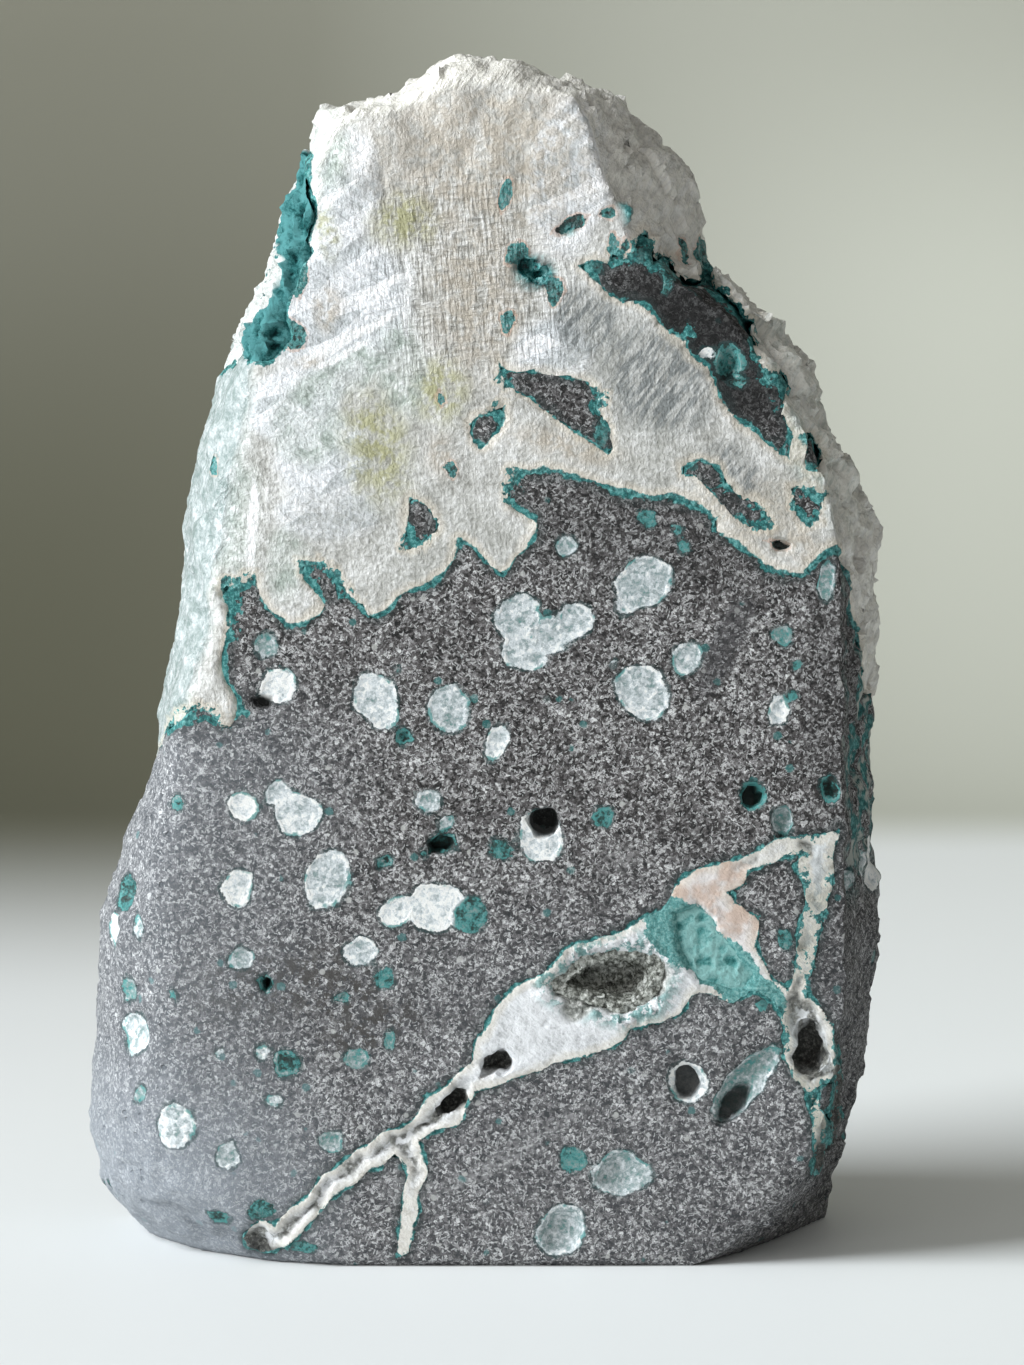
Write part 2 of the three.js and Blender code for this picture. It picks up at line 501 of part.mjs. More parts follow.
// One square crystal with a four-sided point, standing on its base point
function crystal({ at, half, height, lean, turn }) {
  const profile = [
    [0, -half], [half, -half], [half, height], [half * 0.25, height + half * 0.5], [0, height + half * 0.5],
  ];
  const form = new THREE.LatheGeometry(profile.map(([r, h]) => new THREE.Vector2(r * Math.SQRT2, h)), 4);
  form.rotateX(Math.PI / 2);
  form.rotateZ(THREE.MathUtils.degToRad(turn));
  form.rotateX(THREE.MathUtils.degToRad(lean[0]));
  form.rotateZ(THREE.MathUtils.degToRad(-lean[1]));
  form.translate(...at);
  return solid(form);
}

function cleavagePlate({ at, half, lean, turn }) {
  const form = new THREE.BoxGeometry(2 * half, PLATE_WIDTH, PLATE_THICKNESS);
  form.rotateZ(THREE.MathUtils.degToRad(turn));
  form.rotateY(THREE.MathUtils.degToRad(lean));
  form.translate(...at);
  return solid(form);
}

// The minerals

const stone = wholeStone();
const druseRoom = vugRoom(SEAM_GAP);

function basalt() {
  const parted = stone.subtract(crownRoom(SEAM_GAP)).add(stone.intersect(basaltInCrown(-SEAM_GAP)));
  const vesicles = BACK_VESICLES.map(([x, z, radius]) => (
    pit({ at: [x, z], size: [radius, radius * 0.85], depth: radius, behind: backSurface(x, z) })
  ));
  return parted
    .subtract(veinRoom(SEAM_GAP))
    .subtract(joined([...BASALT_PITS, ...BEVEL_PITS].map((one) => pit(one))))
    .subtract(joined(vesicles));
}

// Depth of the stone's back at a point of the face, found by thinning a needle of stone
function backSurface(x, z) {
  const needle = new THREE.BoxGeometry(0.2, 2 * FAR, 0.2);
  needle.translate(x, FAR, z);
  return stone.intersect(solid(needle)).boundingBox().max[1];
}

function crown() {
  const mass = stone.intersect(crownRoom(0));
  const added = joined([...CRYSTALS.map(crystal), ...PLATES.map(cleavagePlate)]).intersect(crownRoom(0));
  const shoulder = plate(grown(SHOULDER_SHAPE, SEAM_GAP), IN_FRONT, LUMP_DEPTH + SEAM_GAP);
  return mass
    .add(added)
    .subtract(basaltInCrown(0))
    .subtract(shoulder)
    .subtract(joined(CROWN_PITS.map((one) => pit(one))));
}

function vein() {
  const pocket = plate(grown(POCKET_SHAPE, SEAM_GAP), IN_FRONT, POCKET_DEPTH + SEAM_GAP);
  return stone
    .intersect(veinRoom(0))
    .subtract(vugRoom(0))
    .subtract(pocket)
    .subtract(joined(VEIN_PITS.map((one) => pit(one))));
}

// Crust of small points that lines the vug
function druse() {
  const lining = druseRoom.subtract(vugRoom(SEAM_GAP + DRUSE_THICKNESS));
  const points = [];
  for (let row = 0; row < 3; row += 1) {
    for (let column = 0; column < 4; column += 1) {
      const tip = new THREE.ConeGeometry(0.8, 1.5 + 0.3 * ((row + column) % 3), 4);
      tip.rotateX(-Math.PI / 2);
      tip.rotateY(0.9 * column + 1.7 * row);
      tip.translate(8.2 + 2.4 * column, VUG_DEPTH - 1.5, 27.6 + 1.3 * row);
      points.push(solid(tip).intersect(druseRoom));
    }
  }
  const depth = new THREE.BoxGeometry(30, 30, 30);
  depth.translate(12, 15 + 0.5, 29);
  return joined([lining, ...points]).intersect(solid(depth));
}

function pocketLump() {
  return stone.intersect(plate(POCKET_SHAPE, 0.5, POCKET_DEPTH));
}

function shoulderCrust() {
  return stone.intersect(plate(SHOULDER_SHAPE, 0.4, LUMP_DEPTH));
}

const MATERIALS = {
  basalt: { color: 0x6f6d70, roughness: 0.85, metalness: 0 },
  apophyllite: { color: 0xe4e2da, roughness: 0.45, metalness: 0 },
  zeolite: { color: 0xd9d8d2, roughness: 0.6, metalness: 0 },
  druse: { color: 0xcfd6d0, roughness: 0.25, metalness: 0 },
  celadonite: { color: 0x2f8f86, roughness: 0.9, metalness: 0 },
};

// A mineral as a named mesh
function mineral(name, form, material) {
  const mesh = form.getMesh();
  const geometry = new THREE.BufferGeometry();
  geometry.setAttribute('position', new THREE.BufferAttribute(mesh.vertProperties, 3));
  geometry.setIndex(new THREE.BufferAttribute(mesh.triVerts, 1));
  geometry.computeVertexNormals();
  const piece = new THREE.Mesh(geometry, new THREE.MeshStandardMaterial(MATERIALS[material]));
  piece.name = name;
  return piece;
}

const specimen = new THREE.Group();
specimen.name = 'apophyllite_specimen';
specimen.add(
  mineral('basalt_matrix', basalt(), 'basalt'),
  mineral('apophyllite_crown', crown(), 'apophyllite'),
  mineral('zeolite_vein', vein(), 'zeolite'),
  mineral('vug_druse', druse(), 'druse'),
  mineral('celadonite_pocket', pocketLump(), 'celadonite'),
  mineral('celadonite_shoulder', shoulderCrust(), 'celadonite'),
);

// Stands the specimen on the middle of its base
const bounds = new THREE.Box3().setFromObject(specimen);
specimen.position.set(-(bounds.min.x + bounds.max.x) / 2, -(bounds.min.y + bounds.max.y) / 2, -bounds.min.z);

export default specimen;
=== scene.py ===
# %% [markdown]
# # A rough apophyllite on basalt
# This lesson dresses one mineral specimen. Its solids were cut at real size, and here each mineral
# gets a broken or sawn skin, its colours and its gloss. Nothing is moved: a skin grows on the solid
# that it stands for, so everything is already in place when the script starts.

# %% Load the solids
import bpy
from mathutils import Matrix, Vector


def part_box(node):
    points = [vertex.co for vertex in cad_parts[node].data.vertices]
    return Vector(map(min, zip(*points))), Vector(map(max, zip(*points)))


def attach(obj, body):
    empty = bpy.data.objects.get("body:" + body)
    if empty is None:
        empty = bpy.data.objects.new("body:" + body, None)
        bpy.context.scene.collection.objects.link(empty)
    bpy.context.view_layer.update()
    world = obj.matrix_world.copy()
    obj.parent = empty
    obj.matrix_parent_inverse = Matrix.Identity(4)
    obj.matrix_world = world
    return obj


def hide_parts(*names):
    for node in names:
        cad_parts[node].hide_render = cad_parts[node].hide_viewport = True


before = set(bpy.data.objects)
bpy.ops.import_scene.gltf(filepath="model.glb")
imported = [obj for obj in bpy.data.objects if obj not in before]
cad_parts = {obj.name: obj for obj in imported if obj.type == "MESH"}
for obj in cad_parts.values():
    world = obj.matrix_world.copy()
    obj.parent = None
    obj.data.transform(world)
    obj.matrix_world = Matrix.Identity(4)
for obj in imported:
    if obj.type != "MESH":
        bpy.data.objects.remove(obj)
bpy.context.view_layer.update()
print("solids:", ", ".join(sorted(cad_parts)))

# %% Modules and units
import itertools
import math
import bpy
import numpy as np
from mathutils import Vector
from mathutils.bvhtree import BVHTree

MM = 0.001  # metres
BODY = "root"

# %% [markdown]
# ## Where things are on the sawn face
# The front of the stone was cut flat with a saw. All places on it are read as millimetres to the
# right of a middle line and above the table, and depth is measured behind the face. A maker would
# mark them on the face with a ruler, so the lists below stay easy to check by eye.

# %% The sawn face in the scene
MIDDLE_LINE = 0.15  # mm from the part's own middle to the line that places are read from
FACE_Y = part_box("basalt_matrix")[0][1] / MM


def on_face(points):
    """Scene points in metres as [right of the middle line, depth behind the face, height] in mm."""
    return points / MM - np.array([MIDDLE_LINE, FACE_Y, 0.0])


def in_scene(places):
    """The way back, from millimetres on the face to metres in the scene."""
    return (places + np.array([MIDDLE_LINE, FACE_Y, 0.0])) * MM


print("the sawn face is at y =", round(FACE_Y, 2), "mm")

# %% [markdown]
# ## Stone that breaks
# Broken crystal shows tilted flat facets with steps between them, and broken basalt shows soft
# lumps. Both could be sculpted by hand, but a fixed formula covers every side of the stone evenly
# and gives the same result each time. The lattice below gives each cell of space its own number.

# %% Fixed numbers for cells of space
LATTICE_PRIMES = (73856093, 19349663, 83492791)
LATTICE_RANGE = 0xFFFFFF


def cell_number(cells, seed):
    """A fixed number from 0 to 1 for every whole-number cell."""
    mixed = np.full(len(cells), seed * 40503 + 977, dtype=np.int64)
    for axis, prime in enumerate(LATTICE_PRIMES):
        mixed ^= cells[:, axis].astype(np.int64) * prime
    mixed ^= mixed >> 13
    mixed = (mixed * 1274126177) & 0x7FFFFFFFFFFF
    mixed ^= mixed >> 16
    return (mixed & LATTICE_RANGE) / LATTICE_RANGE


def lumps(places, size, seed=0):
    """Soft lumps of a size in mm, as heights from -1 to 1."""
    scaled = places / size
    cells = np.floor(scaled)
    part = scaled - cells
    ease = part * part * (3 - 2 * part)
    total = np.zeros(len(places))
    for corner in itertools.product((0, 1), repeat=3):
        share = np.prod(np.where(np.array(corner) == 1, ease, 1 - ease), axis=1)
        total += share * cell_number(cells + np.array(corner), seed)
    return 2 * total - 1


def facets(places, size, seed=0):
    """Flat tilted facets about a size across, with steps between them, from about -1 to 1."""
    cells = np.floor(places / size)
    nearest = np.full(len(places), np.inf)
    height = np.zeros(len(places))
    for step in itertools.product((-1, 0, 1), repeat=3):
        around = cells + np.array(step)
        spot = np.stack([cell_number(around, seed + k) for k in (1, 2, 3)], axis=1)
        away = places - (around + spot) * size
        distance = np.einsum("ij,ij->i", away, away)
        closer = distance < nearest
        tilt = np.stack([cell_number(around[closer], seed + k) for k in (4, 5, 6)], axis=1) * 2 - 1
        nearest[closer] = distance[closer]
        height[closer] = np.einsum("ij,ij->i", away[closer], tilt) / size
    return height


def smooth(value, start, end):
    """0 before start, 1 after end, and a soft rise between them."""
    share = np.clip((value - start) / (end - start), 0, 1)
    return share * share * (3 - 2 * share)


print("lattice ready, first numbers:", cell_number(np.array([[0, 0, 0], [1, 0, 0]]), 1).round(3))

# %% [markdown]
# ## An even skin on each solid
# The solids have few, long triangles. A voxel remesh lays an even skin on each of them, fine enough
# to carry relief. It rounds sharp edges by about half a voxel, which suits stone.

# %% Skins
SKIN = {"basalt_matrix": 0.58, "apophyllite_crown": 0.51, "zeolite_vein": 0.26, "vug_druse": 0.16,
        "celadonite_pocket": 0.16, "celadonite_shoulder": 0.24}  # voxel in mm


def points_of(mesh):
    flat = np.empty(len(mesh.vertices) * 3)
    mesh.vertices.foreach_get("co", flat)
    return flat.reshape(-1, 3)


def normals_of(mesh):
    flat = np.empty(len(mesh.vertices) * 3)
    mesh.vertex_normals.foreach_get("vector", flat)
    return flat.reshape(-1, 3)


def set_points(mesh, points):
    mesh.vertices.foreach_set("co", points.astype(np.float32).ravel())
    mesh.update()


def skin_of(node, name):
    """A new object with an even skin over a CAD solid, which it replaces."""
    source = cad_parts[node]
    rough = bpy.data.objects.new(name + "_form", source.data.copy())
    bpy.context.scene.collection.objects.link(rough)
    even = rough.modifiers.new("Even skin", "REMESH")
    even.mode = "VOXEL"
    even.voxel_size = SKIN[node] * MM
    bpy.context.view_layer.update()
    mesh = bpy.data.meshes.new_from_object(rough.evaluated_get(bpy.context.evaluated_depsgraph_get()))
    bpy.data.objects.remove(rough)
    mesh.name = name
    mesh.materials.clear()
    mesh.shade_smooth()
    piece = bpy.data.objects.new(name, mesh)
    bpy.context.scene.collection.objects.link(piece)
    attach(piece, BODY)
    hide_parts(node)
    print(name, "skin:", len(mesh.polygons), "faces")
    return piece


basalt = skin_of("basalt_matrix", "basalt_skin")
crown = skin_of("apophyllite_crown", "crown_skin")
vein = skin_of("zeolite_vein", "vein_skin")
druse = skin_of("vug_druse", "druse_skin")
pocket = skin_of("celadonite_pocket", "pocket_skin")
shoulder = skin_of("celadonite_shoulder", "shoulder_skin")

# %% [markdown]
# ## Closing the seams
# Two minerals that grew together touch, but the solids keep a hair of air between them. Each skin
# is drawn a little over the middle of that gap, and the distance to the neighbour is kept on every
# point, because the blue-green celadonite follows that contact.

# %% Distances between minerals
SEAM_GAP = 0.36  # mm of air and rounding between two solids
SEAM_REACH = 1.0  # mm, farther from the neighbour than this a point isn't drawn
SEAM_OVERLAP = 0.16
FAR_AWAY = 30.0


def tree_of(node):
    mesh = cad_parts[node].data
    corners = [tuple(v.co / MM) for v in mesh.vertices]
    return BVHTree.FromPolygons(corners, [tuple(p.vertices) for p in mesh.polygons])


TREES = {node: tree_of(node) for node in SKIN}


def nearest_on(node, points, reach=FAR_AWAY):
    """Distance in mm from each point to a solid, and the step that leads there."""
    distance = np.full(len(points), reach)
    step = np.zeros((len(points), 3))
    find = TREES[node].find_nearest
    for i, point in enumerate(points):
        hit, _, _, away = find(point, reach)
        if hit is not None:
            distance[i] = away
            step[i] = hit - Vector(point)
    return distance, step


def close_seam(piece, neighbours, share=0.5, reach=SEAM_REACH):
    """Draws a skin over its seams and returns the distance from each point to the nearest neighbour."""
    points = points_of(piece.data) / MM
    nearest = np.full(len(points), FAR_AWAY)
    move = np.zeros_like(points)
    for node in neighbours:
        distance, step = nearest_on(node, points, 8.0)
        closer = distance < nearest
        pull = (share * distance + SEAM_OVERLAP) * (1 - smooth(distance, 0.45, reach))
        direction = step / np.maximum(np.linalg.norm(step, axis=1), 1e-6)[:, None]
        move[closer] = (direction * pull[:, None])[closer]
        nearest = np.minimum(nearest, distance)
    set_points(piece.data, (points + move) * MM)
    return np.maximum(nearest - SEAM_GAP, 0)


basalt_seam = close_seam(basalt, ["apophyllite_crown", "zeolite_vein"])
crown_seam = close_seam(crown, ["basalt_matrix"])
vein_seam = close_seam(vein, ["basalt_matrix"])
close_seam(vein, ["celadonite_pocket", "vug_druse"])
close_seam(pocket, ["zeolite_vein"])
close_seam(druse, ["zeolite_vein"])
crown_shoulder_seam = nearest_on("celadonite_shoulder", points_of(crown.data) / MM, 8.0)[0] - SEAM_GAP
close_seam(shoulder, ["apophyllite_crown"], 1.0, 1.8)
print("seams closed on", len(basalt_seam) + len(crown_seam) + len(vein_seam), "points")

# %% [markdown]
# ## Sawn and worn
# The remesh rounds every border a little, so the face is brought back to the saw's plane. Away from
# the seams the edges are worn round: the ridge of the ground left side, the lower right corner and
# the top of the crown. Each round moves a point towards the middle of its neighbours.

# %% The sawn plane and the worn edges
def saw_flat(piece, node, level):
    """Brings the rounded borders of a skin back to the sawn face; level is their depth in mm."""
    places = on_face(points_of(piece.data))
    cut = places[:, 1] < 0.6 * SKIN[node]
    places[cut, 1] = level
    set_points(piece.data, in_scene(places))


def wear(piece, weight, rounds):
    """Moves each point by its weight towards the middle of its neighbours, round after round."""
    mesh = piece.data
    ends = np.empty(len(mesh.edges) * 2, dtype=np.int32)
    mesh.edges.foreach_get("vertices", ends)
    first, second = ends.reshape(-1, 2).T
    points = points_of(mesh)
    size = len(points)
    count = np.bincount(ends, minlength=size)
    for _ in range(rounds):
        for axis in range(3):
            values = points[:, axis]
            total = np.bincount(first, values[second], size) + np.bincount(second, values[first], size)
            points[:, axis] = values + weight * (total / count - values)
    set_points(mesh, points)


def away_from_seam(seam):
    return smooth(seam, 0.8, 2.6)


saw_flat(basalt, "basalt_matrix", 0.0)
saw_flat(crown, "apophyllite_crown", -0.03)
saw_flat(vein, "zeolite_vein", -0.05)
rough_places = on_face(points_of(basalt.data))
left_ridge = (1 - smooth(rough_places[:, 0], -26, -12)) * smooth(rough_places[:, 2], 5, 12)
right_corner = smooth(rough_places[:, 0], 12, 20) * (1 - smooth(rough_places[:, 2], 16, 26))
right_corner *= smooth(rough_places[:, 2], 0.3, 2.0)
wear(basalt, np.maximum(left_ridge, right_corner) * away_from_seam(basalt_seam) * 0.9, 40)
rough_places = on_face(points_of(crown.data))
top_edge = smooth(rough_places[:, 2], 100, 108) * (1 - smooth(rough_places[:, 0], 3, 9))
left_edge = (1 - smooth(rough_places[:, 0], -20, -10)) * away_from_seam(crown_shoulder_seam)
wear(crown, np.maximum(top_edge, left_edge) * away_from_seam(crown_seam) * 0.9, 30)
print("face sawn flat, edges worn")

# %% [markdown]
# ## Filled vesicles
# Gas bubbles in the lava were later filled with pale zeolite or green celadonite. The saw cut them
# through, so they show as discs with a fine rim. They are level with the face, so they are colour
# and only slightly relief: each one is an ellipsoid of space, and a point keeps its distance to the
# nearest one and that one's tone. Tone runs from 0, dark green, to 1, cream white.

# %% Vesicles on the face, read one by one: right, up, half width, half height, turn in degrees, tone
FACE_VESICLES = [
    (-22.0, 62.2, 1.3, 1.3, 0, 0.55), (-20.9, 58.3, 1.7, 1.7, 0, 1.0), (-11.2, 56.6, 2.2, 2.8, 8, 0.86),
    (-4.0, 55.8, 2.3, 2.4, 0, 0.75), (-8.7, 53.3, 0.8, 0.8, 0, 0.12), (-24.7, 46.4, 1.2, 1.4, 0, 0.95),
    (-21.1, 47.5, 1.2, 1.1, 0, 0.8), (-19.1, 45.8, 2.2, 2.1, 0, 0.86), (-6.0, 46.8, 1.2, 1.3, 0, 0.7),
    (-4.3, 44.7, 0.6, 0.6, 0, 0.6), (-31.3, 46.6, 0.9, 1.0, 0, 0.2), (-16.2, 39.0, 2.3, 3.0, -16, 0.8),
    (-24.9, 38.2, 1.7, 1.8, 0, 1.0), (-9.0, 36.0, 1.8, 1.4, 20, 0.95), (-6.0, 36.2, 2.4, 2.3, 0, 0.95),
    (-4.0, 37.0, 1.3, 1.6, 0, 0.95), (-1.9, 35.4, 1.7, 1.6, 0, 0.33), (-12.9, 31.7, 1.7, 1.6, 0, 0.82),
    (-10.3, 29.1, 1.1, 1.0, 0, 0.35), (-24.9, 31.0, 1.0, 1.0, 0, 0.7), (-10.0, 22.8, 0.7, 1.0, 0, 0.45),
    (-13.4, 21.1, 1.2, 0.9, 0, 0.5), (-22.5, 28.4, 0.8, 0.9, 0, 0.15), (-14.9, 27.3, 0.8, 0.8, 0, 0.12),
    (-20.1, 20.5, 1.3, 1.2, 0, 0.2), (-22.6, 21.6, 0.8, 0.7, 0, 0.8), (-27.1, 21.5, 0.6, 0.6, 0, 0.7),
    (-21.4, 16.9, 0.7, 0.6, 0, 0.7), (7.3, 72.2, 1.1, 1.2, 0, 0.7), (15.4, 74.9, 0.8, 0.9, 0, 0.35),
    (18.5, 73.6, 0.4, 0.4, 0, 0.3), (19.3, 72.0, 0.5, 0.5, 0, 0.4), (15.2, 68.7, 2.8, 2.5, 20, 0.77),
    (13.9, 66.8, 1.5, 1.1, 30, 0.77), (2.8, 64.9, 2.1, 2.1, 0, 0.79), (3.6, 61.8, 2.2, 2.0, 0, 0.79),
    (6.0, 63.4, 1.7, 1.7, 0, 0.79), (8.4, 64.7, 1.8, 1.5, 10, 0.79), (19.6, 61.1, 1.7, 1.7, 0, 0.72),
    (15.1, 57.7, 2.7, 2.5, 0, 0.81), (0.6, 52.6, 1.1, 2.0, -20, 0.86), (33.1, 69.0, 0.7, 1.9, 0, 0.65),
    (28.6, 63.4, 1.1, 1.1, 0, 0.5), (30.3, 60.3, 0.6, 0.6, 0, 0.4), (28.4, 55.8, 1.1, 1.6, 0, 0.9),
    (26.2, 47.3, 1.5, 1.4, 0, 0.38), (29.0, 44.8, 1.3, 1.8, 0, 0.62), (33.7, 47.9, 0.9, 1.6, 0, 0.1),
    (4.9, 43.4, 2.3, 2.8, 0, 0.9), (1.2, 42.0, 1.1, 1.0, 0, 0.3), (11.1, 45.3, 0.9, 0.8, 0, 0.35),
    (13.0, 9.3, 3.1, 2.2, 0, 0.7), (8.0, 10.7, 1.3, 1.4, 0, 0.4), (7.2, 3.6, 2.6, 2.4, 30, 0.7),
    (19.5, 18.8, 2.0, 2.2, 0, 0.9), (25.4, 18.4, 4.7, 1.7, 50, 0.6), (29.6, 33.0, 0.7, 0.7, 0, 0.3),
    (27.0, 26.2, 0.8, 0.8, 0, 0.3), (-15.6, 12.7, 1.2, 1.1, 0, 0.6), (-27.3, 4.8, 1.1, 1.0, 0, 0.25),
    (-23.0, 5.6, 1.4, 0.9, 0, 0.3), (-18.3, 2.1, 1.7, 0.7, 0, 0.3), (-26.1, 11.3, 1.0, 1.5, 10, 0.75),
    (-30.8, 14.1, 1.6, 2.2, 15, 0.8), (-34.6, 17.1, 0.5, 1.1, 0, 0.5), (-31.5, 27.3, 0.7, 0.8, 0, 0.5),
    (-35.0, 23.0, 2.0, 2.6, 0, 0.78), (-35.8, 27.3, 0.9, 1.8, 0, 0.5), (-36.4, 36.8, 1.5, 1.9, 0, 0.3),
    (-37.9, 33.1, 1.1, 1.9, 0, 0.9), (-35.1, 34.0, 0.5, 1.2, 0, 0.6), (36.4, 38.5, 0.5, 1.2, 0, 0.6),
    (-4.8, 42.7, 1.1, 1.0, 0, 0.05), (-6.6, 41.5, 0.4, 0.4, 0, 0.1), (-10.4, 40.6, 0.7, 0.6, 0, 0.1),
    (11.9, 60.4, 0.4, 0.4, 0, 0.7), (29.6, 57.4, 0.6, 0.5, 0, 0.3), (-9.4, 59.8, 0.5, 0.4, 0, 0.2),
]
TEAL_ON_WEDGE = [
    (13.0, 100.6, 1.6, 0.7, -10, 0.34), (15.2, 100.8, 1.8, 0.9, 0, 0.32), (18.2, 99.6, 1.8, 1.3, 0, 0.3),
    (17.4, 98.2, 0.6, 1.2, 0, 0.3), (21.0, 98.2, 1.6, 1.2, 0, 0.34), (23.4, 90.2, 1.6, 1.7, 0, 0.36),
    (21.2, 91.2, 0.9, 0.7, 0, 0.95), (27.8, 89.2, 1.2, 1.1, 0, 0.32), (24.8, 94.6, 1.2, 0.6, -40, 0.3),
    (9.6, 99.6, 1.2, 0.5, -10, 0.3), (10.8, 83.4, 0.8, 1.7, 0, 0.3), (24.4, 88.2, 0.9, 0.8, 0, 0.08),
]
BACK_VESICLE_COUNT = 90
HOLE_DEPTH = 6.0  # mm, no hole on the face is deeper
FACE_EDGE = 27.0  # mm to each side of the middle line, the face is flat inside it
BACK_TONES = (1.0, 0.9, 0.8, 0.75, 0.5, 0.3, 0.15, 0.05)


def depth_on(node, right, up):
    """Depth behind the face at which a solid begins, seen straight from the front."""
    start = Vector((right + MIDDLE_LINE, FACE_Y - 10, up))
    hit, _, _, distance = TREES[node].ray_cast(start, Vector((0, 1, 0)))
    return 0.0 if hit is None else distance - 10


def back_vesicles(places, count, seed):
    """Vesicles at fixed random places on the broken sides and back."""
    draw = np.random.default_rng(seed)
    behind = np.flatnonzero(places[:, 1] > 5)
    chosen = draw.choice(behind, count, replace=False)
    rows = []
    for point in places[chosen]:
        width = 0.5 + 2.0 * draw.random() ** 2
        rows.append((*point, width, width, width * (0.8 + 0.7 * draw.random()), 0.0,
                     BACK_TONES[draw.integers(len(BACK_TONES))]))
    return rows


def ellipsoids(node, flat_list):
    """Flat list entries as ellipsoids on the surface of a solid, level with the face where a hole is cut."""
    rows = []
    for right, up, wide, high, turn, tone in flat_list:
        depth = depth_on(node, right, up)
        if depth < HOLE_DEPTH and abs(right) < FACE_EDGE:
            depth = 0.0
        rows.append((right, depth, up, wide, max(wide, high), high, turn, tone))
    return rows


def uneven(places):
    """How far a border wanders, in mm."""
    return 0.26 * lumps(places, 2.1, 91) + 0.13 * lumps(places, 0.9, 92)


def nearest_spot(places, rows):
    """Signed distance in mm to the nearest ellipsoid, less than 0 inside it, and its tone."""
    distance = np.full(len(places), FAR_AWAY)
    tone = np.zeros(len(places))
    for right, depth, up, wide, deep, high, turn, spot_tone in rows:
        angle = math.radians(turn)
        dx = places[:, 0] - right
        dz = places[:, 2] - up
        along = (dx * math.cos(angle) + dz * math.sin(angle)) / wide
        across = (dz * math.cos(angle) - dx * math.sin(angle)) / high
        inward = (places[:, 1] - depth) / deep
        away = (np.sqrt(along**2 + across**2 + inward**2) - 1) * math.sqrt(wide * high)
        closer = away < distance
        distance[closer] = away[closer]
        tone[closer] = spot_tone
    return distance + uneven(places), tone


basalt_places = on_face(points_of(basalt.data))
vesicles = ellipsoids("basalt_matrix", FACE_VESICLES + TEAL_ON_WEDGE)
vesicles += back_vesicles(basalt_places, BACK_VESICLE_COUNT, 7)
filling, filling_tone = nearest_spot(basalt_places, vesicles)
print(len(vesicles), "filled vesicles")

# %% [markdown]
# ## Ragged borders
# A mineral border is never a clean line. One field of small sideways steps shifts every skin alike,
# so two minerals that share a border stay matched while it turns ragged.

# %% One ragged field for all
RAGGED = ((2.6, 0.34, 11), (1.0, 0.2, 21))  # size, reach in mm, seed


def ragged(places):
    """Sideways steps in mm; along the depth only behind the face, and none at the base."""
    step = np.zeros_like(places)
    for size, reach, seed in RAGGED:
        for axis in range(3):
            step[:, axis] += reach * lumps(places, size, seed + axis)
    step[:, 1] *= smooth(places[:, 1], 0.3, 2.0)
    step *= smooth(places[:, 2], 0.2, 2.0)[:, None]
    return step


# %% [markdown]
# ## Zones
# Parts of the crown differ: a warm patch near the top, an olive stain, a greenish clear edge on the
# left and a grey striped clear area. Each is a soft ellipse on the face, and the materials break
# its border up with noise.

# %% Zones on the face: right, up, half width, half height, turn
WARM = [(-0.5, 110.5, 11, 8.5, 0), (-16, 95.5, 1.2, 2.0, -10), (-17.6, 90.6, 1.6, 0.7, 0),
        (1.7, 93.9, 1.6, 2.0, 0), (-5, 81, 1.4, 2, 0), (-1.5, 97, 4.5, 8, 0), (8, 82, 6, 1.4, -12),
        (29, 73, 4, 1.6, -20), (27, 76, 3, 3, -30)]
OLIVE = [(-11.2, 82, 2.9, 5.0, 12), (-5, 87.5, 2.4, 3, 0), (-8.6, 104.2, 2.8, 2.4, 0),
         (-16.4, 103.4, 1.2, 2.6, 20)]
CLEAR = [(-28, 78, 4.6, 10, 8), (-31.5, 61, 2.2, 6, 0), (-16.5, 111, 2.6, 4, 10), (-14.5, 89, 6.6, 1.9, 29),
         (-17.5, 83.5, 3.6, 3, 0), (33, 86, 5, 12, 20), (-20, 70.5, 2, 3.4, 0), (-8.8, 90, 2.6, 4.6, 10)]
COOL = [(-15.4, 96, 7.5, 7.4, 0), (-19, 86.5, 5, 3.4, 25), (-16.5, 81, 4.6, 4.2, 20),
        (7.8, 108.5, 3.8, 7.8, -6), (6.5, 91.5, 4, 3, 0), (-16, 75.5, 5, 3, 0), (-14.5, 107, 3.6, 5.8, -10)]
STRIPED = [(16.5, 88.5, 6, 4.6, -44), (9.4, 94.4, 3.4, 3, -30), (24, 79.5, 3.4, 2.4, -40)]
SHADED = [(-8, 73, 5, 6, 0), (10.5, 91.2, 3.4, 5.6, -20), (15.5, 82.4, 5.4, 4, -30), (-2, 72, 4, 5, 0),
          (28.5, 76.5, 2, 3, -20), (-15.5, 74.5, 4.4, 3.2, 0)]
LATTICE = [(-3, 102, 8, 7, 0), (3, 95, 6, 6, 0), (-6, 94, 5, 5, 0)]
CLEAVED = [(-13.6, 93.0, 5.8, 0.5, 25), (-10.6, 97.8, 3.6, 0.4, 22), (-14.4, 91.2, 3.2, 0.4, 27),
           (-23.4, 74.4, 0.5, 5.2, -3), (-8.1, 96.5, 0.4, 4.6, -3), (-19.4, 100.6, 2.6, 0.4, 40)]
CROWN_PITS = [(4.4, 99.2, 3.6, 3.4, 0), (7.7, 103.4, 2.2, 1.8, 0), (12.2, 104.8, 1.4, 1.4, 0)]
RUSTY = [(-21.5, 28.6, 8, 3.6, 10), (-14.5, 27.5, 3.8, 3, 0), (-12, 24, 5, 2.4, 20)]
SCRATCHED = [(2.0, 11.7, 8.5, 0.9, 31), (1.5, 10.6, 8, 0.4, 31), (13, 41, 1.6, 1.4, 0),
             (-8.5, 8, 2.4, 2, 0)]
